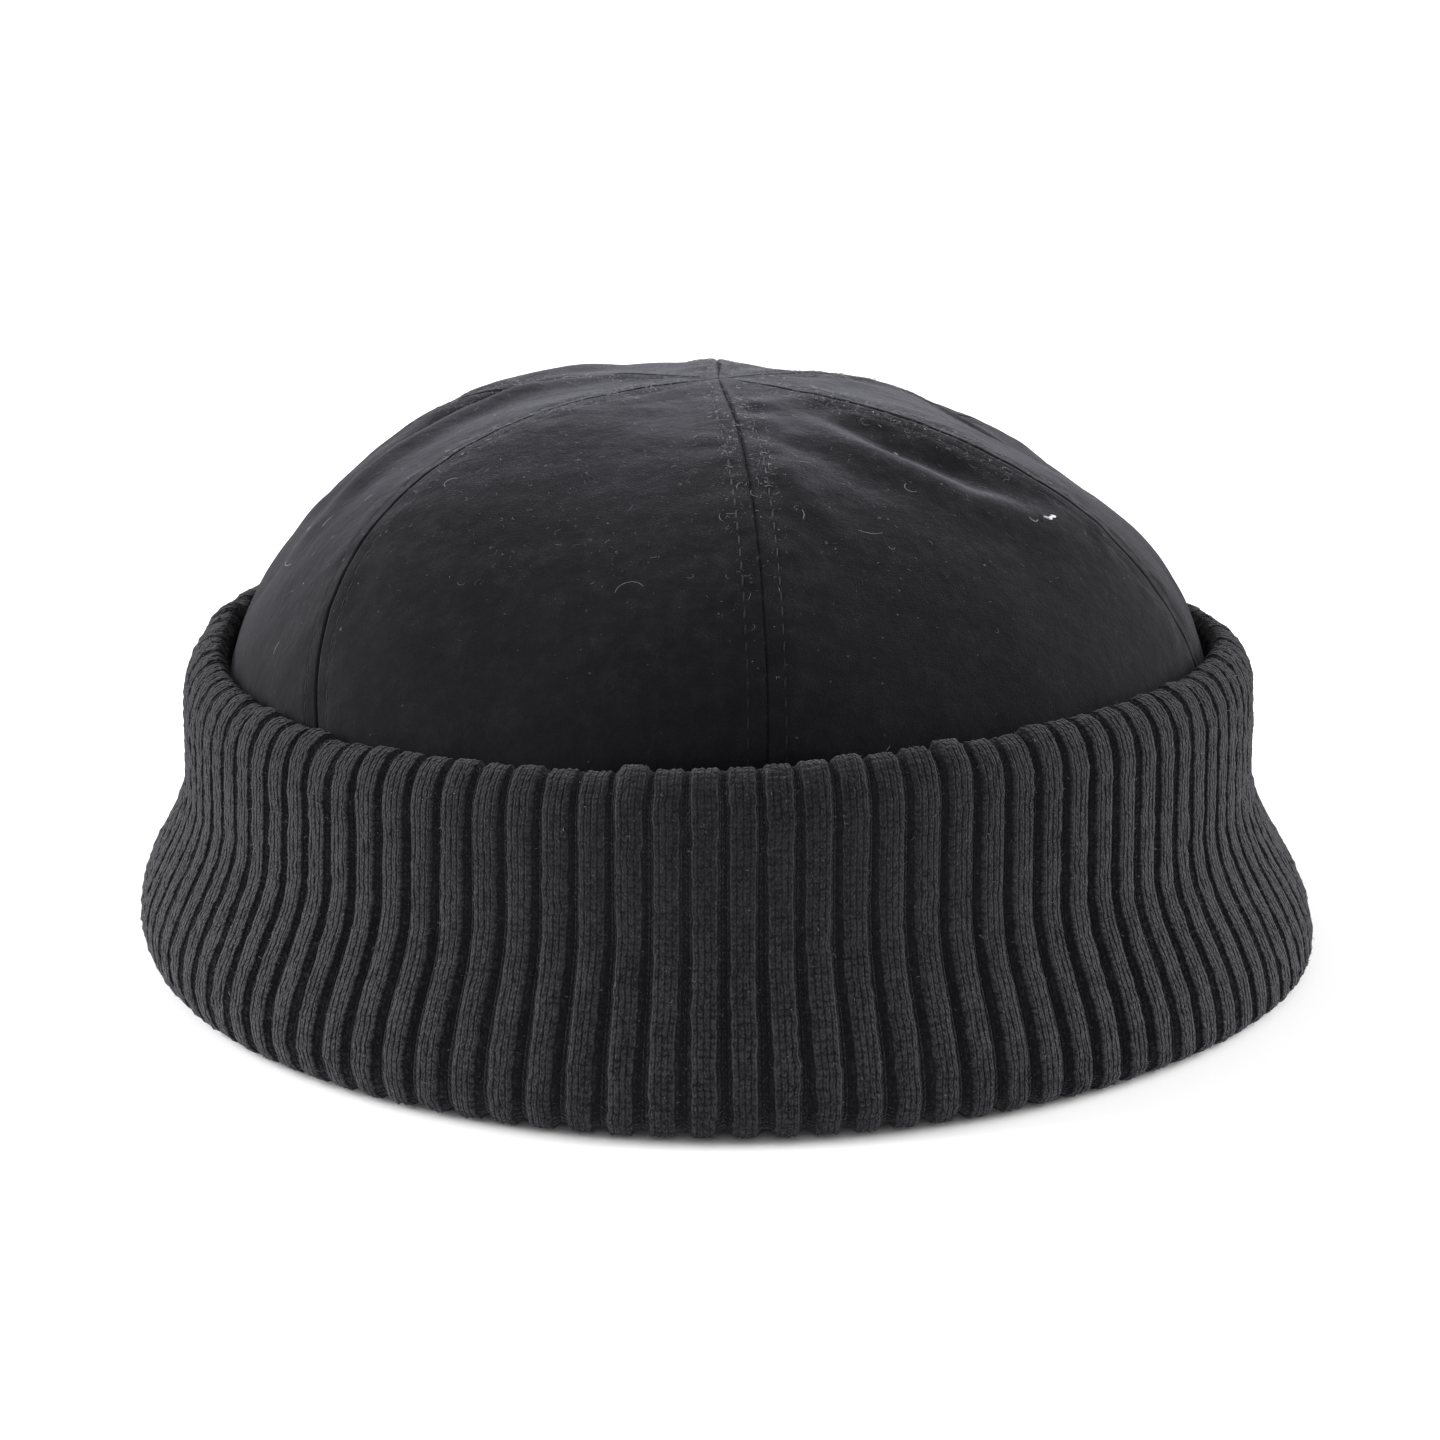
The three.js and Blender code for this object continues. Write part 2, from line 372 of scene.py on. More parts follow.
class Wiring:
    """A short way of wiring the nodes of one material."""

    def __init__(self, name: str) -> None:
        """Makes the material with its shader and output.

        Args:
            name: Name of the material.
        """
        self.material = bpy.data.materials.new(name)
        self.material.use_nodes = True
        self.nodes = self.material.node_tree.nodes
        self.links = self.material.node_tree.links
        self.nodes.clear()
        self.shader = self.nodes.new("ShaderNodeBsdfPrincipled")
        output = self.nodes.new("ShaderNodeOutputMaterial")
        self.links.new(self.shader.outputs["BSDF"], output.inputs["Surface"])

    def plug(self, socket: bpy.types.NodeSocket, value: object) -> None:
        """Links a socket to another one, or sets its own value.

        Args:
            socket: The socket to fill.
            value: Another socket, or a value.
        """
        if isinstance(value, bpy.types.NodeSocket):
            self.links.new(value, socket)
        else:
            socket.default_value = value

    def node(self, kind: str, inputs: dict, **settings: object) -> bpy.types.Node:
        """Adds a node.

        Args:
            kind: Node type, without the ShaderNode at its start.
            inputs: Values or sockets by input name.
            **settings: Properties of the node.

        Returns:
            The new node.
        """
        made = self.nodes.new("ShaderNode" + kind)
        for key, value in settings.items():
            setattr(made, key, value)
        for key, value in inputs.items():
            self.plug(made.inputs[key], value)
        return made

    def math(self, operation: str, *values: object) -> bpy.types.NodeSocket:
        """Adds a math node.

        Args:
            operation: What it does.
            *values: Values or sockets that it does it to.

        Returns:
            Its result.
        """
        made = self.nodes.new("ShaderNodeMath")
        made.operation = operation
        for place, value in enumerate(values):
            self.plug(made.inputs[place], value)
        return made.outputs[0]

    def span(
        self, value: bpy.types.NodeSocket, start: float, end: float, low: float, high: float
    ) -> bpy.types.NodeSocket:
        """Maps start to end smoothly onto low to high, and holds it beyond both.

        Args:
            value: What is mapped.
            start: Value that gives low.
            end: Value that gives high.
            low: Result at start.
            high: Result at end.

        Returns:
            The mapped value.
        """
        made = self.node(
            "MapRange",
            {"Value": value, "From Min": start, "From Max": end, "To Min": low, "To Max": high},
            interpolation_type="SMOOTHSTEP",
        )
        return made.outputs["Result"]

    def noise(
        self, place: bpy.types.NodeSocket, size: float, detail: float = 2.0, swirl: float = 0.0
    ) -> bpy.types.NodeSocket:
        """Adds noise.

        Args:
            place: Coordinates in metres.
            size: Size of its grains in millimetres.
            detail: How many finer octaves it holds.
            swirl: How strongly it is distorted.

        Returns:
            Its value, about 0.5 on average.
        """
        scale = 1.0 / (size * METRES)
        made = self.node(
            "TexNoise", {"Vector": place, "Scale": scale, "Detail": detail, "Distortion": swirl}
        )
        return made.outputs["Fac"]

    def place(self) -> bpy.types.NodeSocket:
        """Gives the object's own coordinates, in metres."""
        return self.node("TexCoord", {}).outputs["Object"]

    def by_height(
        self,
        place: bpy.types.NodeSocket,
        heights: tuple[float, float],
        shares: tuple[float, float],
    ) -> bpy.types.NodeSocket:
        """Gives a share that changes smoothly between two heights.

        Args:
            place: Coordinates in metres.
            heights: The lower and the upper height, in millimetres.
            shares: The share at each.

        Returns:
            The share at each point.
        """
        height = self.node("SeparateXYZ", {"Vector": place}).outputs["Z"]
        low, high = (edge * METRES for edge in heights)
        return self.span(height, low, high, *shares)

    def blend(
        self, share: bpy.types.NodeSocket, first: object, second: object
    ) -> bpy.types.NodeSocket:
        """Mixes two colours.

        Args:
            share: Share of the second colour.
            first: A colour or a socket.
            second: A colour or a socket.

        Returns:
            The mixed colour.
        """
        made = self.node("Mix", {}, data_type="RGBA")
        self.plug(made.inputs[MIX_SHARE], share)
        self.plug(made.inputs[MIX_FIRST], self.opaque(first))
        self.plug(made.inputs[MIX_SECOND], self.opaque(second))
        return made.outputs[MIX_RESULT]

    @staticmethod
    def opaque(value: object) -> object:
        """Adds full opacity to a colour, and gives anything else back as it is."""
        return (*value, 1.0) if isinstance(value, tuple) else value

    def bump(
        self, height: bpy.types.NodeSocket, depth: float, onto: object = None
    ) -> bpy.types.NodeSocket:
        """Adds a bump.

        Args:
            height: Its height, from 0 to 1.
            depth: Its depth in millimetres.
            onto: The bump that it lies on, if any.

        Returns:
            The bent surface direction.
        """
        inputs = {"Height": height, "Distance": depth * METRES, "Strength": 1.0}
        if onto is not None:
            inputs["Normal"] = onto
        return self.node("Bump", inputs).outputs["Normal"]

    def finish(self, values: dict) -> bpy.types.Material:
        """Sets or links the shader's own sockets.

        Args:
            values: Values or sockets by input name.

        Returns:
            The finished material.
        """
        for key, value in values.items():
            self.plug(self.shader.inputs[key], self.opaque(value))
        return self.material


@dataclass(frozen=True)
class WoolCloth:
    """Black fulled wool cloth with a short matted nap.

    Sizes, depths and heights are in millimetres. Low down, next to the cuff, the colour is
    painted deep black as painted shade of the cuff; it is painted lighter towards the top.
    """

    name: str = "black_wool_cloth"
    # deep and worn are the cloth's darkest and lightest tones; low down the colour stays near
    # deep as painted shade of the cuff
    deep: Colour = (0.0044, 0.0043, 0.005)
    worn: Colour = (0.0096, 0.0094, 0.011)
    lint: Colour = (0.075, 0.077, 0.088)
    # Painted shade of the cuff: between these heights the darkened colour goes over to the full
    # one
    painted_shade_heights: tuple[float, float] = (57.0, 91.0)
    painted_shade_shares: tuple[float, float] = (0.34, 1.0)
    sheen: float = 0.152
    sheen_roughness: float = 0.3
    sheen_tint: Colour = (0.87, 0.87, 1.0)
    specular: float = 0.04
    roughness: tuple[float, float] = (0.98, 0.86)
    nap_size: float = 0.24
    nap_depth: float = 0.11
    nap_share: float = 0.6
    felting_size: float = 2.2
    felting_depth: float = 0.16
    shade_span: tuple[float, float] = (0.36, 0.64)
    patch_size: float = 22.0
    patch_span: tuple[float, float] = (0.4, 0.75)
    patch_share: float = 0.5
    fibre_size: float = 0.75
    fibre_swirl: float = 2.4
    fibre_width: float = 0.02
    fibre_strength: float = 0.5
    tangle_size: float = 4.4
    tangle_span: tuple[float, float] = (0.45, 0.7)
    fleck_spacing: float = 2.6
    fleck_size: float = 0.09
    fleck_rarity: float = 0.84

    def material(self) -> bpy.types.Material:
        """Makes the material.

        Returns:
            The node material, with nap, felted unevenness, matted fibres and caught lint.
        """
        wiring = Wiring(self.name)
        place = wiring.place()
        nap = wiring.noise(place, self.nap_size, FINE_DETAIL)
        felting = wiring.noise(place, self.felting_size, FINE_DETAIL)
        patches = wiring.noise(place, self.patch_size)
        # Painted shade: darker low down, where the cuff shades the cloth, and lighter towards the
        # top; it also thins the lint marks low down
        painted_light_by_height = wiring.by_height(place, self.painted_shade_heights, self.painted_shade_shares)

        shade = wiring.math("MULTIPLY", felting, 1.0 - self.nap_share)
        shade = wiring.math("MULTIPLY_ADD", nap, self.nap_share, shade)
        shade = wiring.span(shade, *self.shade_span, 0.0, 1.0)
        worn = wiring.span(patches, *self.patch_span, 0.0, self.patch_share)
        shade = wiring.math("MAXIMUM", shade, worn)
        ground = wiring.blend(wiring.math("MULTIPLY", shade, painted_light_by_height), self.deep, self.worn)
        lint = wiring.math("MAXIMUM", self.fleck(wiring, place), self.fibres(wiring, place))
        colour = wiring.blend(wiring.math("MULTIPLY", lint, painted_light_by_height), ground, self.lint)
        normal = wiring.bump(felting, self.felting_depth)
        normal = wiring.bump(nap, self.nap_depth, normal)
        return wiring.finish(
            {
                "Base Color": colour,
                "Roughness": wiring.span(nap, *GRAIN_SPAN, *self.roughness),
                "Normal": normal,
                "Specular IOR Level": self.specular,
                "Sheen Weight": self.sheen,
                "Sheen Roughness": self.sheen_roughness,
                "Sheen Tint": self.sheen_tint,
            }
        )

    def fibres(self, wiring: Wiring, place: bpy.types.NodeSocket) -> bpy.types.NodeSocket:
        """Marks fine curly fibres matted into the nap, as the level lines of a swirled noise.

        Args:
            wiring: The material being wired.
            place: Coordinates in metres.

        Returns:
            A share that is highest along a fibre and 0 elsewhere.
        """
        swirl = wiring.noise(place, self.fibre_size, SMOOTH_DETAIL, self.fibre_swirl)
        level = wiring.math("ABSOLUTE", wiring.math("SUBTRACT", swirl, NOISE_MIDDLE))
        line = wiring.span(level, 0.0, self.fibre_width, self.fibre_strength, 0.0)
        tangled = wiring.span(
            wiring.noise(place, self.tangle_size), *self.tangle_span, 0.0, 1.0
        )
        return wiring.math("MULTIPLY", line, tangled)

    def fleck(self, wiring: Wiring, place: bpy.types.NodeSocket) -> bpy.types.NodeSocket:
        """Marks tiny scattered flecks of pale lint.

        Args:
            wiring: The material being wired.
            place: Coordinates in metres.

        Returns:
            A share that is 1 on a fleck and 0 elsewhere.
        """
        cells = wiring.node(
            "TexVoronoi", {"Vector": place, "Scale": 1.0 / (self.fleck_spacing * METRES)}
        )
        near = wiring.span(cells.outputs["Distance"], self.fleck_size / 2, self.fleck_size, 1, 0)
        picked = wiring.node("SeparateColor", {"Color": cells.outputs["Color"]}).outputs["Red"]
        return wiring.math(
            "MULTIPLY", near, wiring.math("GREATER_THAN", picked, self.fleck_rarity)
        )


@dataclass(frozen=True)
class RibKnit:
    """Black woollen rib knit: each wale is a column of V-shaped stitches.

    Sizes, depths and heights are in millimetres.
    """

    name: str = "black_rib_knit"
    # The first colour is painted into the gutters between ribs as painted shade; ragged breaks up
    # the edge of that painted shade
    painted_gutter_shade: Colour = (0.0086, 0.0084, 0.0097)
    # deep is painted between the stitch legs and between clumps as painted shade, and raised on
    # them; fibre and patch noise also mix the two at random
    deep: Colour = (0.0075, 0.0073, 0.0085)
    raised: Colour = (0.042, 0.0412, 0.0458)
    noise_span: tuple[float, float] = (0.36, 0.64)
    fibre_share: float = 0.32
    stitch_share: float = 0.5
    clump_share: float = 0.22
    patch_share: float = 0.08
    tone_span: tuple[float, float] = (0.3, 0.98)
    # Painted shade: between these heights the knit's light tone is painted darker towards the top
    # of the cuff
    painted_top_shade_heights: tuple[float, float] = (12.0, 48.0)
    painted_top_shade_shares: tuple[float, float] = (1.0, 0.44)
    ragged: float = 0.3
    painted_gutter_shade_span: tuple[float, float] = (0.2, 0.94)
    sheen: float = 0.12
    sheen_roughness: float = 0.4
    sheen_tint: Colour = (0.95, 0.96, 1.0)
    specular: float = 0.06
    roughness: tuple[float, float] = (0.98, 0.88)
    stitch_depth: float = 0.26
    slant: float = 0.5
    leg_share: float = 0.35
    leg_edge: tuple[float, float] = (0.24, 0.5)
    course_share: float = 0.42
    unevenness: float = 0.8
    uneven_size: float = 1.3
    fibre_size: float = 0.3
    fibre_depth: float = 0.26
    clump_size: float = 0.85
    clump_depth: float = 0.3
    patch_size: float = 5.0
    uv_name: str = "knit"

    def material(self) -> bpy.types.Material:
        """Makes the material.

        Returns:
            The node material, whose stitches follow the mesh's wales and courses.
        """
        wiring = Wiring(self.name)
        courses = wiring.node("UVMap", {}, uv_map=self.uv_name).outputs["UV"]
        place = wiring.place()
        stitch = self.stitch_height(wiring, courses, place)
        fibre = wiring.noise(place, self.fibre_size, FINE_DETAIL)
        clumps = wiring.noise(place, self.clump_size)
        patches = wiring.noise(place, self.patch_size, FINE_DETAIL)
        fuzz, knots, worn = (
            wiring.span(noise, *self.noise_span, 0.0, 1.0) for noise in (fibre, clumps, patches)
        )
        # Painted shade and tone: stitch height and clump noise paint the crevices darker, while
        # fibre and patch noise give a random tone
        tone_and_painted_shade = wiring.math("MULTIPLY", stitch, self.stitch_share)
        tone_and_painted_shade = wiring.math("MULTIPLY_ADD", fuzz, self.fibre_share, tone_and_painted_shade)
        tone_and_painted_shade = wiring.math("MULTIPLY_ADD", knots, self.clump_share, tone_and_painted_shade)
        tone_and_painted_shade = wiring.math("MULTIPLY_ADD", worn, self.patch_share, tone_and_painted_shade)
        tone_and_painted_shade = wiring.span(tone_and_painted_shade, *self.tone_span, 0.0, 1.0)
        # Painted shade: the tone fades towards the top of the cuff
        painted_top_shade = wiring.by_height(place, self.painted_top_shade_heights, self.painted_top_shade_shares)
        tone_and_painted_shade = wiring.math("MULTIPLY", tone_and_painted_shade, painted_top_shade)
        colour = wiring.blend(tone_and_painted_shade, self.deep, self.raised)
        # Painted shade in the gutters: how high each point stands on its rib, roughened by noise,
        # darkens the colour
        relief = wiring.node("Attribute", {}, attribute_name=SHADE).outputs["Fac"]
        ragged = wiring.math("MULTIPLY_ADD", knots, self.ragged, -self.ragged / 2)
        relief = wiring.math("ADD", relief, ragged)
        colour = wiring.blend(wiring.span(relief, *self.painted_gutter_shade_span, 0.0, 1.0), self.painted_gutter_shade, colour)
        normal = wiring.bump(stitch, self.stitch_depth)
        normal = wiring.bump(clumps, self.clump_depth, normal)
        normal = wiring.bump(fibre, self.fibre_depth, normal)
        return wiring.finish(
            {
                "Base Color": colour,
                "Roughness": wiring.span(fibre, *GRAIN_SPAN, *self.roughness),
                "Normal": normal,
                "Specular IOR Level": self.specular,
                "Sheen Weight": self.sheen,
                "Sheen Roughness": self.sheen_roughness,
                "Sheen Tint": self.sheen_tint,
            }
        )

    def stitch_height(
        self, wiring: Wiring, courses: bpy.types.NodeSocket, place: bpy.types.NodeSocket
    ) -> bpy.types.NodeSocket:
        """Works out the height of the two slanting legs of each stitch.

        Args:
            wiring: The material being wired.
            courses: Coordinates with wales along X and courses along Y.
            place: Coordinates in metres.

        Returns:
            A height from 0 between two wales to 1 along the legs of a stitch.
        """
        parts = wiring.node("SeparateXYZ", {"Vector": courses})
        drift = wiring.noise(place, self.uneven_size)
        uneven = wiring.math("MULTIPLY_ADD", drift, self.unevenness, -self.unevenness / 2)
        wale = wiring.math("FRACT", parts.outputs["X"])
        aside = wiring.math("ABSOLUTE", wiring.math("SUBTRACT", wale, 0.5))
        legs = wiring.math("SINE", wiring.math("MULTIPLY", aside, 2 * math.pi))
        column = wiring.span(aside, *self.leg_edge, 1.0 - self.leg_share, 0.0)
        across = wiring.math("MULTIPLY_ADD", legs, self.leg_share, column)
        slanted = wiring.math("MULTIPLY_ADD", aside, -2 * self.slant, parts.outputs["Y"])
        slanted = wiring.math("ADD", slanted, uneven)
        wave = wiring.math("COSINE", wiring.math("MULTIPLY", slanted, 2 * math.pi))
        half = self.course_share / 2
        course = wiring.math("MULTIPLY_ADD", wave, half, 1.0 - half)
        return wiring.math("MULTIPLY", across, course)


@dataclass(frozen=True)
class SewingThread:
    """Black sewing thread with a slight gloss and a painted highlight near the top. Sizes are in
    millimetres.
    """

    name: str = "black_sewing_thread"
    colour: Colour = (0.0042, 0.0042, 0.005)
    # Paler colour painted on the thread high up, as a painted highlight where light catches the
    # stitches
    painted_highlight: Colour = (0.055, 0.055, 0.061)
    painted_highlight_heights: tuple[float, float] = (66.0, 93.0)
    roughness: tuple[float, float] = (0.52, 0.72)
    specular: float = 0.05
    sheen: float = 0.08
    ply_size: float = 0.22
    ply_depth: float = 0.08

    def material(self) -> bpy.types.Material:
        """Makes the material.

        Returns:
            The node material, with the thread's plies as a fine bump and a painted highlight high
            up.
        """
        wiring = Wiring(self.name)
        place = wiring.place()
        plies = wiring.noise(place, self.ply_size, SMOOTH_DETAIL)
        # Painted highlight: the thread is painted paler towards the top, broken up by its plies
        painted_light_by_height = wiring.by_height(place, self.painted_highlight_heights, (0.0, 1.0))
        painted_light_by_height = wiring.math("MULTIPLY", painted_light_by_height, plies)
        return wiring.finish(
            {
                "Base Color": wiring.blend(painted_light_by_height, self.colour, self.painted_highlight),
                "Roughness": wiring.span(plies, *GRAIN_SPAN, *self.roughness),
                "Normal": wiring.bump(plies, self.ply_depth),
                "Specular IOR Level": self.specular,
                "Sheen Weight": self.sheen,
            }
        )


@dataclass(frozen=True)
class LooseFibre:
    """Pale fibres caught in the nap, from grey to nearly white."""

    name: str = "loose_fibre"
    dull: Colour = (0.02, 0.02, 0.024)
    pale: Colour = (0.42, 0.42, 0.46)
    roughness: float = 0.7

    def material(self) -> bpy.types.Material:
        """Makes the material.

        Returns:
            The node material, shaded by each fibre's own shade.
        """
        wiring = Wiring(self.name)
        shade = wiring.node("Attribute", {}, attribute_name=SHADE).outputs["Fac"]
        return wiring.finish(
            {
                "Base Color": wiring.blend(shade, self.dull, self.pale),
                "Roughness": self.roughness,
            }
        )


@dataclass(frozen=True)
class StudioPaper:
    """The pale plain floor. The size of its grain is in millimetres."""

    name: str = "studio_paper"
    colour: Colour = (0.9, 0.9, 0.9)
    roughness: tuple[float, float] = (0.9, 1.0)
    grain_size: float = 3.0

    def material(self) -> bpy.types.Material:
        """Makes the material.

        Returns:
            The node material, with a trace of unevenness.
        """
        wiring = Wiring(self.name)
        grain = wiring.noise(wiring.place(), self.grain_size)
        return wiring.finish(
            {
                "Base Color": self.colour,
                "Roughness": wiring.span(grain, *GRAIN_SPAN, *self.roughness),
                "Specular IOR Level": 0.0,
            }
        )


@dataclass(frozen=True)
class PanelPlan:
    """One panel of the crown: its CAD node, the bearing of its left seam, and its swing."""

    node: str
    bearing: float
    swing: float


@dataclass(frozen=True)
class Fold:
    """A soft ridge or dent along a path of places, each a bearing and a climb.

    Width and lift are shares of the crown's fold_width and fold_lift. It fades out towards
    both ends over the share fade of its length.
    """

    path: tuple[tuple[float, float], ...]
    width: float
    lift: float
    fade: float = 0.35


@dataclass
class SeamLine:
    """A topstitched line beside a seam: points up the cloth, the way out, and the length."""

    points: Array
    outward: Array
    travelled: Array


@dataclass
class Crown:
    """The crown: six cloth panels with pressed, topstitched seams.

    Lengths are in millimetres. The powers bend the dome's plan and its height, bearing by
    bearing. Each edge of a panel has columns of points at seam_steps from its seam.
    """

    head: HeadForm
    shift: Array
    faces: list[Surface] = field(default_factory=list)
    seam_faces: list[Surface] = field(default_factory=list)
    cloth: float = 2.0
    height: float = 94.2
    wall_height: float = 45.0
    foot: float = 28.3
    seam_gap: float = 0.06
    flatness: float = 2.6
    tip_climb: float = 0.9992
    row_step: float = 0.75
    middle_columns: int = 40
    wall_samples: int = 60
    dome_samples: int = 900
    width_samples: int = 33
    fold_width: float = 8.0
    fold_lift: float = 2.0
    groove_depth: float = 0.5
    groove_width: float = 0.27
    ridge_ease: float = 0.4
    ridge_width: float = 3.6
    allowance_width: float = 5.5
    allowance_start: float = 0.9
    allowance_edge: tuple[float, float] = (-0.4, 0.5)
    allowance_lift: float = 0.1
    allowance_inside: float = 0.9
    row_distance: float = 3.0
    row_dent: float = 0.12
    row_dent_width: float = 0.5
    stitch_pitch: float = 3.15
    stitch_pull: float = 0.3
    stitched_tightness: float = 0.42
    seam_share: float = 0.47
    fold_end: float = 0.35
    broad: Ripple = Ripple(0.22, 34.0, 11)
    fine: Ripple = Ripple(0.05, 9.0, 12)
    pucker: Ripple = Ripple(0.1, 7.0, 13)
    pucker_distance: float = 4.0
    calm_distance: float = 9.0
    lint_height: tuple[float, float] = (48.0, 94.0)
    lint_low: float = 0.022
    lint_at_seams: float = 3.0
    fuzz_distance: float = 2.2
    fuzz_width: float = 2.2
    fuzz_height: tuple[float, float] = (77.0, 93.0)
    seam_steps: tuple[float, ...] = (
        0.0, 0.22, 0.45, 0.75, 1.15, 1.6, 2.05, 2.4, 2.7, 3.0, 3.3, 3.65, 4.1, 4.8, 5.7, 7.0,
    )
    panels: tuple[PanelPlan, ...] = (
        PanelPlan("crown_panel_front_left", -49, -20),
        PanelPlan("crown_panel_front_right", 5, 2),
        PanelPlan("crown_panel_right", 76, -14),
        PanelPlan("crown_panel_back_right", 130, -8),
        PanelPlan("crown_panel_back_left", 187, -8),
        PanelPlan("crown_panel_left", 245, 0),
    )
    folds: tuple[Fold, ...] = (
        Fold(((33, 0.9), (40, 0.81), (43, 0.71), (49, 0.6), (60, 0.5), (68, 0.46)), 0.62, 0.6),
        Fold(((46, 0.86), (51, 0.75), (57, 0.63), (60, 0.56)), 0.62, -1.0),
        Fold(((22, 0.82), (30, 0.72), (36, 0.6)), 0.6, -0.35),
        Fold(((14, 0.86), (24, 0.81), (32, 0.78)), 0.4, 0.25),
        Fold(((12, 0.76), (16, 0.67), (20, 0.57)), 0.36, 0.3),
        Fold(((22, 0.68), (29, 0.56)), 0.6, -0.2),
        Fold(((-120, 0.88), (-107, 0.79), (-96, 0.69), (-87, 0.57), (-80, 0.4)), 0.55, 0.85),
        Fold(((-124, 0.88), (-112, 0.74), (-104, 0.62), (-96, 0.5), (-90, 0.42)), 0.5, -1.0),
        Fold(((-150, 0.8), (-134, 0.74), (-124, 0.66), (-118, 0.58)), 0.8, 0.95),
        Fold(((-76, 0.84), (-68, 0.68), (-60, 0.5)), 0.6, -0.22),
        Fold(((-106, 0.4), (-96, 0.32), (-84, 0.2)), 1.3, -1.2, 0.2),
        Fold(((88, 0.62), (118, 0.62)), 1.5, -0.85, 0.1),
        Fold(((160, 0.8), (138, 0.72), (117, 0.55), (102, 0.42)), 1.0, -0.85),
        Fold(((85, 0.28), (118, 0.3)), 1.4, 0.35, 0.1),
        Fold(((-30, 0.5), (-22, 0.2)), 1.8, -0.35),
        Fold(((28, 0.42), (36, 0.16)), 1.8, -0.35),
        Fold(((155, 0.75), (140, 0.5)), 1, 0.3),
        Fold(((-150, 0.5), (-145, 0.2)), 1.8, -0.4),
        Fold(((-160, 0.6), (-172, 0.45), (-166, 0.3)), 0.8, 0.4),
        Fold(((176, 0.62), (168, 0.42), (170, 0.2)), 1.0, -0.5),
    )
    side_power: RoundTable = RoundTable(
        (
            (-135, 2.3), (-90, 2.35), (-50, 2.6), (0, 2.4), (45, 2.4), (73, 2.45),
            (100, 2.3), (135, 2.2), (180, 2.3),
        )
    )
    top_power: RoundTable = RoundTable(
        (
            (-135, 1.95), (-90, 2.05), (-50, 1.95), (0, 1.8), (45, 1.8), (73, 1.78),
            (100, 1.75), (135, 1.8), (180, 1.75),
        )
    )

    def dome(self, bearing: Array, climb: Array, inset: float) -> tuple[Array, Array]:
        """Gives points of the plain dome, before panels and folds.

        Args:
            bearing: Bearings in degrees.
            climb: Climbs from -1 to 1.
            inset: Distance in from the outer face.

        Returns:
            The points, and the unit directions out of the cloth there.
        """
        angle = np.clip(climb, 0.0, None) * math.pi / 2
        size = np.cos(angle) ** (2 / self.side_power.at(bearing))
        lift = np.sin(angle) ** (2 / self.top_power.at(bearing))
        wall = self.wall_height + np.clip(climb, None, 0.0) * (self.wall_height - self.foot)
        rise = self.height - self.wall_height
        flat = self.head.point(bearing, self.cloth - inset, 0.0)[..., :2] * size[..., None]
        steep = np.array([4 / self.head.width**2, 4 / self.head.depth**2])
        outward = np.concatenate([flat * steep, (lift / rise)[..., None]], axis=-1)
        height = wall + (rise - inset) * lift
        return np.concatenate([flat, height[..., None]], axis=-1), unit(outward)

    def fold_height(self, points: Array) -> Array:
        """Gives how far the folds lift or sink the cloth.

        Args:
            points: Points of the plain dome.

        Returns:
            Heights above the dome.
        """
        total = np.zeros(points.shape[:-1])
        for fold in self.folds:
            bearing, climb = (np.array(part, dtype=float) for part in zip(*fold.path))
            corners = self.dome(bearing, climb, 0.0)[0]
            lines = np.diff(corners, axis=0)
            lengths = np.linalg.norm(lines, axis=1)
            started = np.concatenate([[0.0], np.cumsum(lengths)])
            nearest = np.full(total.shape, np.inf)
            along = np.zeros(total.shape)
            for start, line, length, before in zip(corners, lines, lengths, started):
                share = np.clip((points - start) @ line / length**2, 0.0, 1.0)
                away = np.linalg.norm(points - start - share[..., None] * line, axis=-1)
                along = np.where(away < nearest, before + share * length, along)
                nearest = np.minimum(nearest, away)
            along = along / started[-1]
            end = np.minimum(along, 1.0 - along)
            strength = self.fold_end + (1 - self.fold_end) * smooth_step(end, 0.0, fold.fade)
            shape = bell(nearest, 0.0, fold.width * self.fold_width)
            total += fold.lift * self.fold_lift * strength * shape
        return total

    def climbs(self, bearing: float) -> Array:
        """Gives climbs for a panel's rows, evenly spaced along the cloth.

        Args:
            bearing: Bearing of the panel's middle.

        Returns:
            Climbs from the foot to the apex.
        """
        wall = np.linspace(-1.0, 0.0, self.wall_samples)
        dome = np.linspace(0.0, self.tip_climb, self.dome_samples)
        fine = np.concatenate([wall, dome[1:]])
        line = self.dome(np.full(fine.shape, bearing), fine, 0.0)[0]
        lengths = np.linalg.norm(np.diff(line, axis=0), axis=1)
        travelled = np.concatenate([[0.0], np.cumsum(lengths)])
        rows = int(travelled[-1] / self.row_step) + 1
        return np.interp(np.linspace(0.0, travelled[-1], rows), travelled, fine)

    def columns(self, width: Array) -> tuple[Array, Array]:
        """Spreads a panel's columns so that they lie close together beside both seams.

        Args:
            width: Width of the panel at each row.

        Returns:
            The shares across by row and column, and the distance from the nearest seam.
        """
        steps = np.array(self.seam_steps)
        squeeze = self.tightness(width)[:, None]
        near = squeeze * steps / width[:, None]
        last = near[:, -1:]
        middle = np.linspace(0.0, 1.0, self.middle_columns + 2)[1:-1]
        between = last + (1 - 2 * last) * middle
        across = np.concatenate([near, between, 1 - near[:, ::-1]], axis=1)
        distance = np.minimum(across, 1 - across) * width[:, None]
        return across, distance

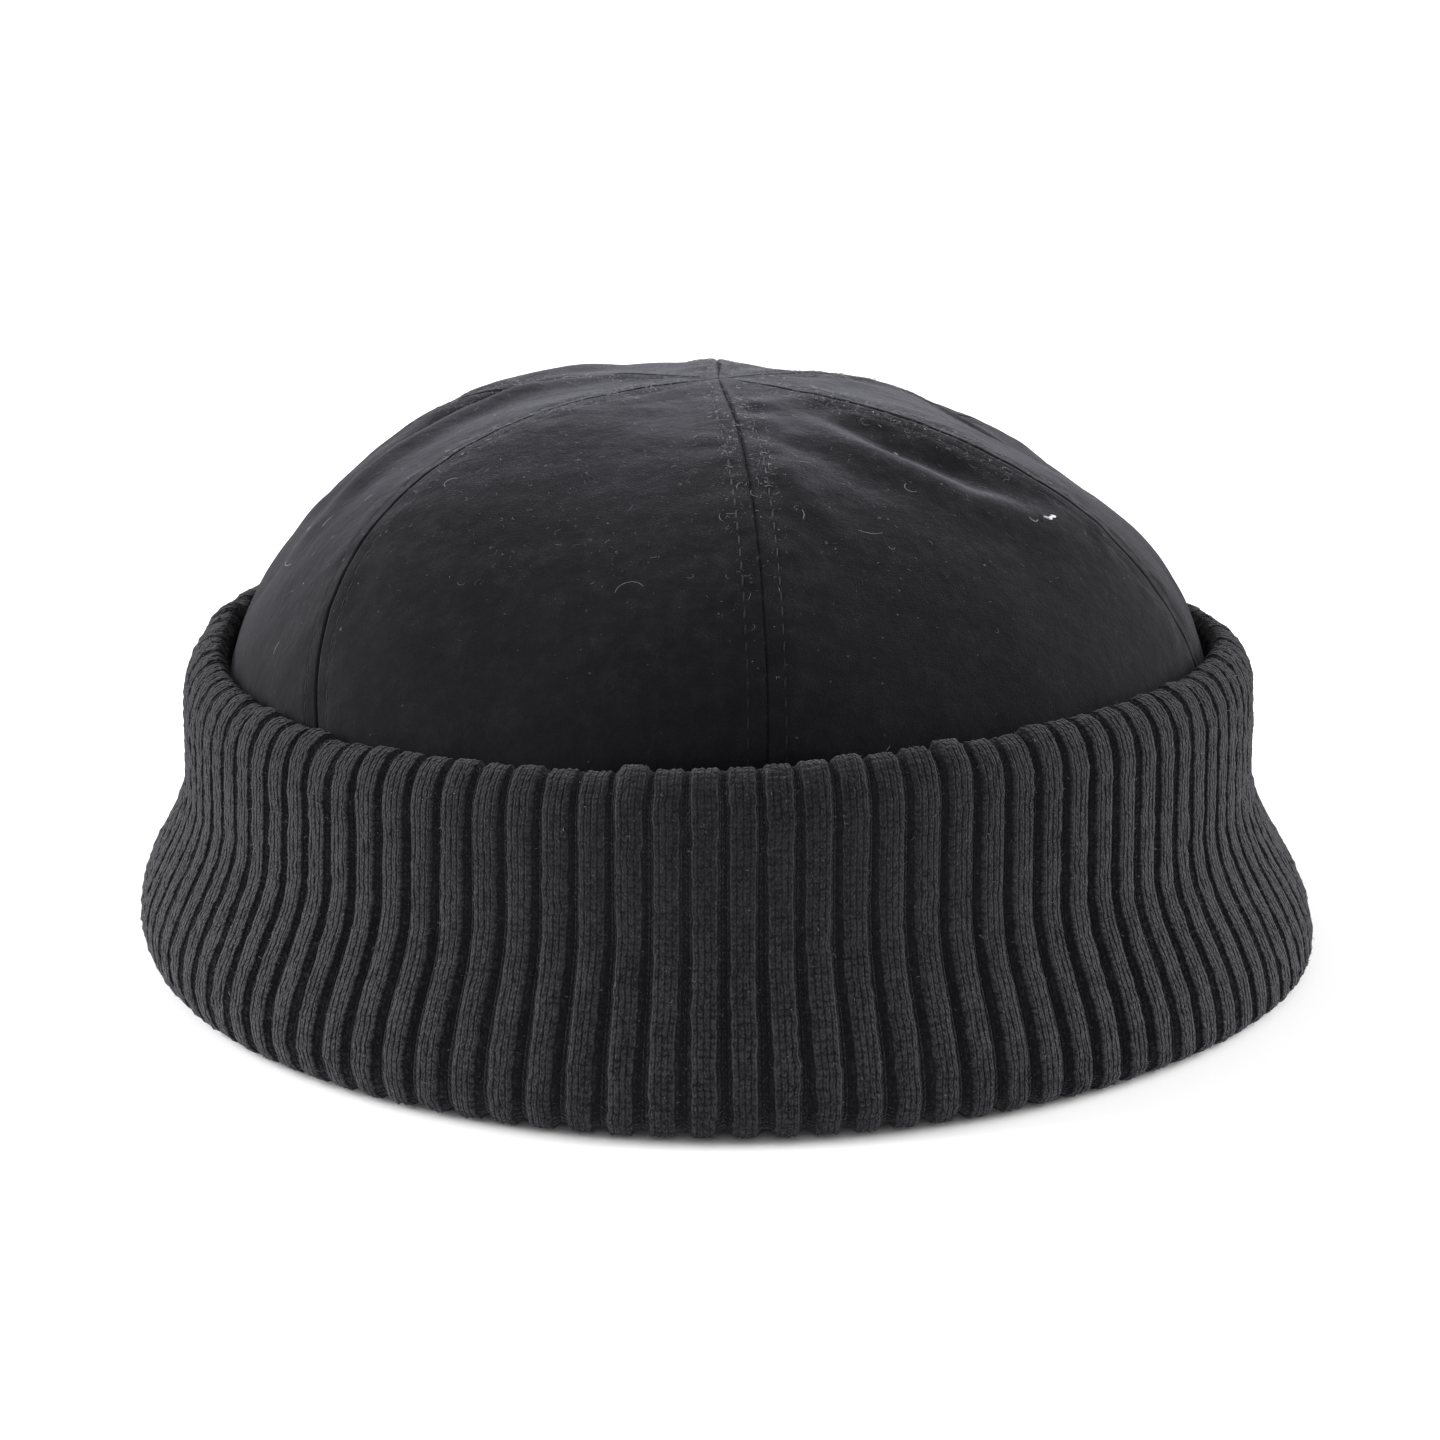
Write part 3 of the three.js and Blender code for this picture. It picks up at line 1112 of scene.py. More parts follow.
    def seam_relief(self, distance: Array, travelled: Array, tightness: Array) -> Array:
        """Gives the height of the cloth beside a seam.

        Args:
            distance: Distance from the seam.
            travelled: Length along the seam, which places the stitches.
            tightness: 1 where the panel is wide, less where the seams run together.

        Returns:
            Heights above the plain panel.
        """
        reach = self.row_distance * tightness
        groove = -self.groove_depth * bell(distance, 0.0, self.groove_width)
        groove -= self.ridge_ease * bell(distance, 0.0, self.ridge_width)
        flat_until = self.row_distance * self.allowance_start
        fallen = smooth_step(distance, flat_until, self.allowance_width)
        raised = self.allowance_lift * (1 - fallen)
        wave = np.cos(2 * math.pi * travelled / self.stitch_pitch)
        stitch = 1 - self.stitch_pull + self.stitch_pull * wave
        dent = -self.row_dent * stitch * bell(distance, reach, self.row_dent_width)
        return (raised + dent) * tightness**2 + groove * tightness

    def panel(self, index: int) -> tuple[MeshMaker, list[SeamLine]]:
        """Works out one panel.

        Args:
            index: Which panel.

        Returns:
            Its mesh, and the topstitched lines along its left and right edges.
        """
        plan = self.panels[index]
        following = self.panels[(index + 1) % len(self.panels)]
        next_bearing = plan.bearing + (following.bearing - plan.bearing) % FULL_TURN
        climb = self.climbs((plan.bearing + next_bearing) / 2)
        swing = np.clip(climb, 0.0, None)
        seam = self.dome(np.full(climb.shape, float(plan.bearing)), climb, 0.0)[0]
        edge = np.degrees(self.seam_gap / 2 / np.hypot(seam[:, 0], seam[:, 1]))
        start = plan.bearing + plan.swing * swing + edge
        end = next_bearing + following.swing * swing - edge
        width = self.row_widths(start, end, climb)
        across, distance = self.columns(width)
        bearing = start[:, None] + across * (end - start)[:, None]
        rows = np.broadcast_to(climb[:, None], bearing.shape)
        tightness = self.tightness(width)[:, None]

        plain, outward = self.dome(bearing, rows, 0.0)
        fold = self.fold_height(plain)
        pull = self.flatness * 4 * across * (1 - across) * np.sin(np.pi * swing)[:, None]
        smooth = plain + outward * (fold - pull)[..., None]
        lines = [self.seam_steps.index(self.row_distance)]
        lines.append(bearing.shape[1] - 1 - lines[0])
        left, right = (self.travelled(smooth[:, column]) for column in lines)
        travelled = np.where(across < 0.5, left[:, None], right[:, None])
        relief = self.seam_relief(distance, travelled, tightness)
        relief += self.hand_of_cloth(smooth, distance)
        face = smooth + outward * relief[..., None]

        inner, _ = self.dome(bearing, rows, self.cloth)
        edge_start, edge_end = (self.allowance_width + step for step in self.allowance_edge)
        allowance = self.allowance_inside * tightness * (
            1 - smooth_step(distance, edge_start, edge_end)
        )
        back = inner + outward * (fold - pull - allowance)[..., None]

        self.catch_lint(face, distance, tightness)
        maker = MeshMaker()
        rings = maker.add_points(np.concatenate([face, back[:, ::-1]], axis=1))
        columns = face.shape[1]
        maker.add_grid(rings, closed=True)
        caps = np.stack([rings[:, :columns], rings[:, columns:][:, ::-1]])
        maker.add_grid(caps[::-1, 0])
        maker.add_grid(caps[:, -1])
        seams = [
            SeamLine(face[:, column], outward[:, column], length)
            for column, length in zip(lines, (left, right))
        ]
        wide = tightness[:, 0] > self.stitched_tightness
        seams = [SeamLine(s.points[wide], s.outward[wide], s.travelled[wide]) for s in seams]
        return maker, seams

    def tightness(self, width: Array) -> Array:
        """Gives 1 where a panel is wide, and less where its seams run together."""
        return np.minimum(1.0, self.seam_share * width / self.seam_steps[-1])

    def catch_lint(self, face: Array, distance: Array, tightness: Array) -> None:
        """Keeps a panel's outer surface, which catches lint at the top and along its seams.

        Args:
            face: Points by row and column.
            distance: Distance of each from the nearest seam.
            tightness: What tightness gives for each row.
        """
        cloth, seams = Surface.of_grid(face), Surface.of_grid(face)
        high = smooth_step(face[..., 2], *self.lint_height) ** 2
        beside = bell(distance, self.fuzz_distance, self.fuzz_width) * tightness
        top = smooth_step(face[..., 2], *self.fuzz_height)
        cloth.catch *= (self.lint_low + high * (1.0 + self.lint_at_seams * beside)).ravel()
        seams.catch *= (top**2 * beside).ravel()
        self.faces.append(cloth)
        self.seam_faces.append(seams)

    def row_widths(self, start: Array, end: Array, climb: Array) -> Array:
        """Gives a panel's width at each row, along the cloth.

        Args:
            start: Bearing of the left edge at each row.
            end: Bearing of the right edge at each row.
            climb: Climb of each row.

        Returns:
            Widths in millimetres.
        """
        shares = np.linspace(0.0, 1.0, self.width_samples)
        bearing = start[:, None] + shares * (end - start)[:, None]
        line = self.dome(bearing, np.broadcast_to(climb[:, None], bearing.shape), 0.0)[0]
        return np.linalg.norm(np.diff(line, axis=1), axis=2).sum(axis=1)

    @staticmethod
    def travelled(line: Array) -> Array:
        """Gives the length travelled along a line of points."""
        return np.concatenate([[0.0], np.cumsum(np.linalg.norm(np.diff(line, axis=0), axis=1))])

    def hand_of_cloth(self, points: Array, distance: Array) -> Array:
        """Gives the cloth's own slight unevenness and its puckers beside the seams.

        Args:
            points: Points of the cloth.
            distance: Distance of each from the nearest seam.

        Returns:
            Heights above the smooth cloth.
        """
        soft = self.broad.at(points) + self.fine.at(points)
        beside = bell(distance, self.pucker_distance, self.pucker_distance)
        calm = smooth_step(distance, 0.0, self.calm_distance)
        return soft * calm + self.pucker.at(points) * beside

    def build(self, finish: WoolCloth) -> list[SeamLine]:
        """Makes the six panels.

        Args:
            finish: The cloth's finish.

        Returns:
            The topstitched lines of all the panels.
        """
        material = finish.material()
        seams = []
        for index, plan in enumerate(self.panels):
            maker, lines = self.panel(index)
            made = maker.make(plan.node + "_cloth", self.shift, material)
            dress(made, plan.node)
            seams.extend(lines)
        return seams


@dataclass
class Topstitching:
    """Rows of single stitches on both sides of each seam. Lengths are in millimetres."""

    shift: Array
    pitch: float
    share: float = 0.76
    radius: float = 0.15
    sections: int = 7
    sides: int = 6
    sink: float = 0.16
    rise: float = 0.14
    arch_power: float = 0.6
    thinnest: float = 0.75
    pitch_spread: float = 0.06
    skew: float = 0.12
    skew_spread: float = 0.5
    lowest: float = 47.0
    seed: int = 5

    def build(self, seams: Sequence[SeamLine], finish: SewingThread) -> None:
        """Makes all the stitches as one piece.

        Args:
            seams: The lines to sew along.
            finish: The thread's finish.
        """
        dice = np.random.default_rng(self.seed)
        maker = MeshMaker()
        for seam in seams:
            spare = seam.travelled[-1] - seam.travelled[0]
            count = int(spare / self.pitch)
            start = self.pitch * (np.ceil(seam.travelled[0] / self.pitch) + np.arange(count))
            start = start - self.pitch * self.share / 2
            part = np.linspace(0.0, 1.0, self.sections)
            length = start[:, None] + part * self.pitch * self.share
            length = length + dice.normal(0.0, self.pitch_spread, size=(count, 1))
            line = self.follow(seam.travelled, seam.points, length)
            outward = self.follow(seam.travelled, seam.outward, length)
            lean = dice.normal(1.0, self.skew_spread, size=(count, 1))
            shown = line[:, 0, 2] > self.lowest
            line, outward, lean = line[shown], outward[shown], lean[shown]
            along = unit(np.gradient(line, axis=1))
            aside = np.cross(along, outward)
            arch = np.sin(math.pi * part) ** self.arch_power
            lean = self.skew * (part - 0.5) * lean
            line = line + outward * (self.rise * arch - self.sink)[:, None]
            line = line + aside * lean[..., None]
            thickness = self.radius * (self.thinnest + (1 - self.thinnest) * arch)
            radius = np.broadcast_to(thickness, lean.shape)
            add_tubes(maker, line, outward, radius, self.sides, np.zeros(len(line)))
        made = maker.make("crown_topstitching", self.shift, finish.material())
        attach(made, BODY)
        log.info("%s: %d faces", made.name, len(made.data.polygons))

    @staticmethod
    def follow(travelled: Array, values: Array, length: Array) -> Array:
        """Reads values kept along a line at any lengths along it."""
        return np.stack(
            [np.interp(length, travelled, values[:, axis]) for axis in range(3)], axis=-1
        )


@dataclass(frozen=True)
class FibreKind:
    """How one sort of loose fibre looks and lies. Lengths are in millimetres."""

    count: int
    shortest: float
    longest: float
    radius: float
    curl: float
    lift: float
    rise: float
    shades: tuple[float, float]
    sections: int
    seed: int


@dataclass(frozen=True)
class StrayHair:
    """One fibre that catches the eye: its place on the crown, length, heading and curl."""

    bearing: float
    climb: float
    length: float
    heading: float
    curl: float
    thickness: float
    shade: float = 0.4


@dataclass
class LooseFibres:
    """Fine fibres that stand out of a cloth or lie on it, as one piece.

    almost_up leans a little, so that a level piece of cloth has a direction across it too.
    """

    name: str
    surface: Surface
    shift: Array
    sides: int = 4
    almost_up: tuple[float, float, float] = (0.03, 0.02, 1.0)
    stand_range: tuple[float, float] = (0.2, 1.0)
    length_odds: tuple[float, float] = (0.9, 3.0)
    taper: float = 0.12

    def lines(
        self, numbers: Array, kind: FibreKind, dice: np.random.Generator,
        length: Array, heading: Array, curl: Array,
    ) -> Array:
        """Works out the fibres' centrelines.

        Args:
            numbers: Points of the surface that they start from.
            kind: How they lie.
            dice: Source of chance.
            length: Length of each.
            heading: Direction along the cloth of each, in radians from level.
            curl: Turn of each along its length, in radians.

        Returns:
            Points by fibre and section.
        """
        root, outward = self.surface.points[numbers], self.surface.outward[numbers]
        flat = unit(np.cross(outward, self.almost_up))
        downward = np.cross(outward, flat)
        part = np.linspace(0.0, 1.0, kind.sections)
        angle = heading[:, None] + curl[:, None] * part
        step = length[:, None] / kind.sections
        x = np.cumsum(np.cos(angle) * step, axis=1)[..., None]
        y = np.cumsum(np.sin(angle) * step, axis=1)[..., None]
        stand = dice.uniform(*self.stand_range, len(numbers))[:, None]
        stand = kind.rise * stand * length[:, None]
        lift = (kind.lift + stand * part)[..., None]
        return root[:, None] + flat[:, None] * x + downward[:, None] * y + outward[:, None] * lift

    def build(
        self,
        kinds: Sequence[FibreKind],
        finish: LooseFibre,
        hairs: Sequence[StrayHair] = (),
        crown: Crown | None = None,
    ) -> None:
        """Makes all the fibres.

        Args:
            kinds: The sorts of fibre to scatter.
            finish: Their finish.
            hairs: Single fibres with a place of their own.
            crown: The crown that the single fibres lie on.
        """
        maker = MeshMaker()
        for kind in kinds:
            dice = np.random.default_rng(kind.seed)
            numbers = self.surface.scatter(kind.count, dice)
            length = dice.beta(*self.length_odds, kind.count)
            length = kind.shortest + (kind.longest - kind.shortest) * length
            heading = dice.uniform(0.0, 2 * math.pi, kind.count)
            curl = dice.normal(0.0, kind.curl, kind.count)
            line = self.lines(numbers, kind, dice, length, heading, curl)
            line[..., 2] = np.maximum(line[..., 2], 2 * kind.radius - self.shift[2])
            self.spin(maker, line, numbers, kind, dice.beta(*kind.shades, kind.count))
        for hair in hairs:
            place = crown.dome(np.array(hair.bearing), np.array(hair.climb), 0.0)[0]
            numbers = np.array([self.surface.nearest(place)])
            kind = replace(SINGLE_HAIR, radius=hair.thickness)
            line = self.lines(
                numbers, kind, np.random.default_rng(kind.seed), np.array([hair.length]),
                np.array([hair.heading]), np.array([hair.curl]),
            )
            self.spin(maker, line, numbers, kind, np.array([hair.shade]))
        made = maker.make(self.name, self.shift, finish.material())
        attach(made, BODY)
        log.info("%s: %d faces", made.name, len(made.data.polygons))

    def spin(
        self, maker: MeshMaker, line: Array, numbers: Array, kind: FibreKind, shade: Array
    ) -> None:
        """Gives the fibres their thickness, tapered at both ends.

        Args:
            maker: Where they go.
            line: Centrelines by fibre and section.
            numbers: Points of the surface that they start from.
            kind: Their sort.
            shade: Shade of each.
        """
        part = np.linspace(0.0, 1.0, kind.sections)
        turn = math.pi * (self.taper + (1 - 2 * self.taper) * part)
        outward = np.broadcast_to(self.surface.outward[numbers][:, None], line.shape)
        radius = np.broadcast_to(kind.radius * np.sqrt(np.sin(turn)), line.shape[:2])
        add_tubes(maker, line, outward, radius, self.sides, shade)


SINGLE_HAIR = FibreKind(
    count=1, shortest=0.0, longest=0.0, radius=0.03, curl=0.0, lift=0.12, rise=0.06,
    shades=(1.0, 1.0), sections=12, seed=1,
)
# Each row: count, shortest, longest, radius, curl, lift, rise, shades, sections, seed
CROWN_FIBRES = (
    FibreKind(4600, 0.3, 1.5, 0.014, 2.6, 0.02, 0.5, (0.8, 3.6), 3, 21),
    FibreKind(850, 0.7, 3.2, 0.016, 4.8, 0.06, 0.12, (1.2, 3.0), 6, 22),
    FibreKind(40, 0.15, 0.45, 0.05, 1.5, 0.06, 0.1, (1.2, 2.4), 3, 23),
)
SEAM_FIBRES = (
    FibreKind(1300, 0.7, 3.4, 0.028, 4.4, 0.05, 0.2, (1.2, 3.4), 6, 24),
    FibreKind(2200, 0.3, 1.2, 0.024, 3.0, 0.03, 0.3, (1.2, 3.8), 3, 25),
)
CUFF_FIBRES = (
    FibreKind(8200, 0.4, 1.4, 0.024, 2.2, 0.0, 0.7, (0.9, 4.0), 3, 31),
    FibreKind(180, 0.4, 2.0, 0.022, 3.2, 0.05, 0.4, (1.2, 2.2), 5, 32),
)
# Each row: bearing, climb, length, heading, curl, thickness, shade
CROWN_HAIRS = (
    StrayHair(61, 0.5, 2.6, -0.4, 0.7, 0.24, 1.0),
    StrayHair(60.4, 0.503, 1.8, -0.2, -0.8, 0.22, 1.0),
    StrayHair(61.6, 0.499, 1.2, -0.9, 0.5, 0.16, 1.0),
    StrayHair(57, 0.51, 2.6, 1.2, -3.0, 0.05, 0.7),
    StrayHair(-11, 0.47, 6.4, -0.9, 2.6, 0.03),
    StrayHair(-52, 0.6, 4.4, 0.1, -3.4, 0.03, 0.6),
    StrayHair(-77, 0.44, 3.6, 1.4, 1.6, 0.035, 0.7),
    StrayHair(-76, 0.32, 4.6, 0.9, -1.4, 0.035, 0.7),
    StrayHair(-84, 0.38, 3.0, 2.4, 1.8, 0.03, 0.7),
    StrayHair(-70, 0.52, 2.6, 0.2, 2.8, 0.03, 0.6),
    StrayHair(-64, 0.2, 2.4, 1.1, 1.0, 0.03, 0.6),
    StrayHair(46, 0.72, 2.2, 2.6, 0.8, 0.05, 0.8),
    StrayHair(40, 0.66, 3.6, 0.6, 2.6, 0.03, 0.6),
    StrayHair(24, 0.58, 4.6, 2.2, 1.0, 0.03, 0.5),
    StrayHair(15, 0.62, 2.4, 1.9, -0.9, 0.03, 0.6),
    StrayHair(150, 0.5, 4.0, 0.4, 2.2, 0.035),
    StrayHair(215, 0.6, 3.0, 2.0, -2.0, 0.035),
)


class CuffPart(Enum):
    """The stretches of the cuff's section, in order: up the outside and back underneath."""

    WALL = "wall"
    SHOULDER = "shoulder"
    LIP = "lip"
    BACK = "back"
    SEAT = "seat"
    BAND = "band"
    SOLE = "sole"
    HEEL = "heel"


@dataclass(frozen=True)
class CuffStretch:
    """How one stretch is knitted: its rows, and relief and gutter width at both ends."""

    part: CuffPart
    rows: int
    relief: tuple[float, float]
    gutter: tuple[float, float]


@dataclass
class Cuff:
    """The deep turned-up cuff of rib knit, one band folded double.

    Lengths are in millimetres. The tables hold shares of the size that each is named after,
    and those of rim and widest are shares of the height. Each rib has columns of points at
    the places of section, counted in wales from the middle of one gutter to the next, with
    the height of each: about 1 on top of a rib and 0 in a gutter.
    """

    head: HeadForm
    height: float = 52.0
    back: float = 2.3
    thickness: float = 7.0
    shoulder_height: float = 9.0
    lip_width: float = 1.5
    lip_height: float = 3.0
    lip_tuck: float = 0.35
    seat_height: float = 28.0
    flare: float = 9.0
    flare_height: float = 31.0
    rounding: float = 3.5
    throat_height: float = 15.0
    throat_opening: float = 5.0
    ribs: int = 106
    rib_depth: float = 1.7
    phase: float = 0.14
    wales: int = 6
    course: float = 0.95
    wobble: float = 0.02
    sway_rows: int = 11
    sway_reach: int = 4
    sway_offset: int = 7
    shared_sway: float = 1.6
    depth_spread: float = 0.06
    edge_roughness: float = 0.017
    rim_unevenness: float = 0.35
    bobbles: float = 0.13
    bobble_balance: float = 1.6
    seed: int = 3
    stretches: tuple[CuffStretch, ...] = (
        CuffStretch(CuffPart.WALL, 28, (0.84, 0.8), (0.185, 0.135)),
        CuffStretch(CuffPart.SHOULDER, 11, (0.8, 0.45), (0.135, 0.11)),
        CuffStretch(CuffPart.LIP, 4, (0.45, 0.15), (0.11, 0.1)),
        CuffStretch(CuffPart.BACK, 2, (0.0, 0.0), (0.1, 0.1)),
        CuffStretch(CuffPart.SEAT, 2, (0.2, 0.5), (0.12, 0.15)),
        CuffStretch(CuffPart.BAND, 8, (0.6, 0.8), (0.15, 0.17)),
        CuffStretch(CuffPart.SOLE, 4, (0.7, 0.7), (0.17, 0.19)),
        CuffStretch(CuffPart.HEEL, 7, (0.7, 0.84), (0.185, 0.19)),
    )
    section: tuple[tuple[float, float], ...] = (
        (0.0, 0.0), (0.52, 0.05), (0.84, 0.3), (1.08, 0.74), (1.46, 0.98), (2.0, 0.87),
        (2.5, 1.03), (3.0, 0.88), (3.5, 1.03), (4.0, 0.87), (4.54, 0.98), (4.92, 0.74),
        (5.16, 0.3), (5.48, 0.05),
    )
    rim_table: RoundTable = RoundTable(
        (
            (-150, 1.0), (-105, 1.0), (-70, 0.98), (-40, 0.99), (0, 1.04), (40, 1.07),
            (80, 1.03), (115, 0.94), (160, 0.96),
        )
    )
    widest_table: RoundTable = RoundTable(
        (
            (-150, 0.1), (-105, 0.14), (-70, 0.15), (-40, 0.11), (0, 0.08), (40, 0.06),
            (80, 0.04), (115, 0.05), (160, 0.06),
        )
    )
    flare_table: RoundTable = RoundTable(
        (
            (-150, 0.92), (-105, 0.86), (-70, 0.87), (-40, 0.86), (0, 0.88), (40, 0.88),
            (80, 1.18), (115, 1.16), (160, 1.0),
        )
    )
    rounding_table: RoundTable = RoundTable(
        (
            (-150, 1.2), (-105, 1.5), (-70, 1.4), (-40, 1.2), (0, 0.8), (40, 0.9),
            (80, 0.6), (115, 0.6), (160, 0.8),
        )
    )
    sway_table: RoundTable = RoundTable(
        ((-160, 0.9), (-110, 1.3), (-75, 1.3), (-45, 0.7), (0, 0.35), (45, 0.45), (85, 1.0))
    )
    relief_table: RoundTable = RoundTable(
        ((-150, 0.9), (-95, 0.52), (-60, 0.76), (0, 1.0), (60, 0.86), (95, 0.58), (150, 0.9))
    )
    gutter_table: RoundTable = RoundTable(
        ((-150, 0.9), (-95, 0.7), (-55, 0.9), (0, 1.1), (50, 0.9), (95, 0.72), (150, 0.9))
    )
    outside: Surface | None = None

    def outline(self, part: CuffPart, share: float, bearing: Array) -> tuple[Array, Array]:
        """Gives the cuff's section before its ribs.

        Args:
            part: The stretch of the section.
            share: Place along that stretch, from 0 to 1.
            bearing: Bearings in degrees.

        Returns:
            Heights, and offsets outside the head's outline.
        """
        rim = self.rim_table.at(bearing) * self.height
        widest = self.widest_table.at(bearing) * self.height
        flare = self.flare_table.at(bearing) * self.flare
        rounding = self.rounding_table.at(bearing) * self.rounding
        waist = self.back + self.thickness
        shoulder = rim - self.shoulder_height
        level = np.zeros_like(rim)
        quarter = math.pi / 2
        match part:
            case CuffPart.WALL:
                height = widest + share * (shoulder - widest)
                drop = np.minimum((height - widest) / (self.flare_height - widest), 1.0)
                return height, waist + flare * np.cos(drop * quarter) ** 2
            case CuffPart.SHOULDER:
                in_by = (self.thickness - self.lip_width) * (1 - math.cos(share * quarter))
                return shoulder + self.shoulder_height * math.sin(share * quarter), (
                    waist - in_by + level
                )
            case CuffPart.LIP:
                crest = waist - self.thickness + self.lip_width
                tuck = self.back - self.lip_tuck
                drop = self.lip_height * (1 - math.cos(share * quarter))
                return rim - drop, crest - (crest - tuck) * math.sin(share * quarter) + level
            case CuffPart.BACK:
                top = rim - self.lip_height
                return top + share * (self.seat_height - top), self.back + level
            case CuffPart.SEAT:
                return self.seat_height + level, self.back * (1 - share) + level
            case CuffPart.BAND:
                height = self.seat_height * (1 - share)
                low = max(0.0, 1 - height / self.throat_height)
                return height + level, self.throat_opening * low**2 + level
            case CuffPart.SOLE:
                outer = waist + flare - rounding
                return level, self.throat_opening + share * (outer - self.throat_opening)
            case CuffPart.HEEL:
                turn = share * quarter
                outer = waist + flare - rounding
                return widest * (1 - math.cos(turn)), outer + rounding * math.sin(turn)

    def rows(self) -> list[tuple[CuffPart, float, float, float]]:
        """Lists the rows of the section.

        Returns:
            For each row its stretch, share along it, relief and gutter width.
        """
        listed = []
        for stretch in self.stretches:
            for share in np.arange(stretch.rows) / stretch.rows:
                relief = stretch.relief[0] + share * (stretch.relief[1] - stretch.relief[0])
                gutter = stretch.gutter[0] + share * (stretch.gutter[1] - stretch.gutter[0])
                listed.append((stretch.part, float(share), relief, gutter))
        return listed

    def surface(self) -> tuple[Array, Array, Array]:
        """Works out the knitted surface.

        Returns:
            Points by row and column, the knit's wale numbers by column, and how high each
            point stands: 1 on a rib and less in a gutter.
        """
        rows = self.rows()
        nominal = np.array([place for place, _ in self.section]) / self.wales
        raised = np.array([height for _, height in self.section])
        rib = np.repeat(np.arange(self.ribs), len(nominal))
        place = np.tile(nominal, self.ribs)
        raised = np.tile(raised, self.ribs)
        dice = np.random.default_rng(self.seed)
        middles = (np.arange(self.ribs) / self.ribs) * FULL_TURN
        knots = self.sway_knots(dice) * self.sway_table.at(middles)
        rim_jitter = dice.normal(0.0, self.rim_unevenness, size=self.ribs)
        depth_jitter = dice.normal(1.0, self.depth_spread, size=self.ribs)

        heights, offsets, bearings, reliefs = [], [], [], []
        for index, (part, share, relief, gutter) in enumerate(rows):
            gutter = gutter * self.gutter_table.at(middles)
            left, right = gutter + dice.normal(0.0, self.edge_roughness, size=(2, self.ribs))
            opened = self.open_gutters(place, left[rib], right[rib])
            spot = index / len(rows) * (len(knots) - 1)
            low = int(spot)
            ease = (1 - math.cos(math.pi * (spot - low))) / 2
            sway = knots[low] * (1 - ease) + knots[low + 1] * ease
            here = sway[rib] * (1 - place) + sway[(rib + 1) % self.ribs] * place
            shares = (rib + self.phase + opened + self.wobble * here) / self.ribs
            bearing = self.head.even_bearings(shares, self.back + self.thickness)
            height, offset = self.outline(part, share, bearing)
            if part in (CuffPart.SHOULDER, CuffPart.LIP):
                strength = math.sin(share * math.pi / 2) if part is CuffPart.SHOULDER else 1.0
                crowned = np.sqrt(np.sin(math.pi * place))
                height = height + rim_jitter[rib] * strength * crowned
            heights.append(height)
            offsets.append(offset)
            bearings.append(bearing)
            deep = self.relief_table.at(bearing)
            depth = self.rib_depth * depth_jitter[rib] * deep
            bobbles = dice.normal(0.0, self.bobbles, size=raised.shape) * raised
            bobbles = bobbles * (self.bobble_balance - deep)
            reliefs.append(relief * (1 - raised) * depth + bobbles)
        height, offset = np.array(heights), np.array(offsets)
        along_height = np.roll(height, -1, axis=0) - np.roll(height, 1, axis=0)
        along_offset = np.roll(offset, -1, axis=0) - np.roll(offset, 1, axis=0)
        length = np.hypot(along_height, along_offset)
        relief = np.array(reliefs)
        height = height + relief * along_offset / length
        offset = offset - relief * along_height / length
        points = self.head.point(np.array(bearings), offset, height)
        return points, (rib + place) * self.wales, 1.0 - relief / self.rib_depth

    def sway_knots(self, dice: np.random.Generator) -> Array:
        """Picks how far the gutters wander aside, at a few heights of the section.

        Args:
            dice: Source of chance.

        Returns:
            Sway by height and gutter. Part of it is shared by neighbours.
        """
        knots = dice.normal(0.0, 1.0, size=(self.sway_rows, self.ribs))
        steps = range(-self.sway_reach, self.sway_reach + 1)
        broad = sum(np.roll(knots, step, axis=1) for step in steps) / math.sqrt(len(steps))
        return knots + self.shared_sway * np.roll(broad, self.sway_offset, axis=0)

    def open_gutters(self, place: Array, left: Array, right: Array) -> Array:
        """Moves a rib's columns so that its outer wales start at the gutters' edges.

        Args:
            place: Shares across the rib, from the middle of one gutter to the next.
            left: Share of the left gutter's half, by column.
            right: Share of the right gutter's half, by column.

        Returns:
            The moved shares.
        """
        wale = 1 / self.wales
        before = place / wale * left
        raised = left + (place - wale) / (1 - 2 * wale) * (1 - right - left)
        after = 1 - (1 - place) / wale * right
        return np.select([place < wale, place > 1 - wale], [before, after], raised)

    def build(self, finish: RibKnit, node: str) -> Array:
        """Makes the cuff and finds the move into the row frame.

        Args:
            finish: The knit's finish.
            node: The CAD node that it stands for.

        Returns:
            The move in millimetres that puts the cuff's middle where the node's is.
        """
        points, wale, raised = self.surface()
        low, high = points.min(axis=(0, 1)), points.max(axis=(0, 1))
        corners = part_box(node)
        middle = np.array((corners[0] + corners[1]) / 2) / METRES
        shift = middle - (low + high) / 2
        shift[2] = -low[2]
        outside = sum(stretch.rows for stretch in self.stretches[:2])
        heel = self.stretches[-1].rows
        shown = np.concatenate([points[-heel:], points[:outside]])
        self.outside = Surface.of_grid(shown, closed=True)
        maker = MeshMaker()
        maker.add_grid(maker.add_points(points), closed_rows=True, closed=True)
        # How high each point stands; the knit paints its gutter shade from it
        maker.shades.append(raised.ravel())
        made = maker.make(node + "_knit", shift, finish.material())
        self.lay_courses(made.data, points, wale, finish.uv_name)
        dress(made, node)
        return shift

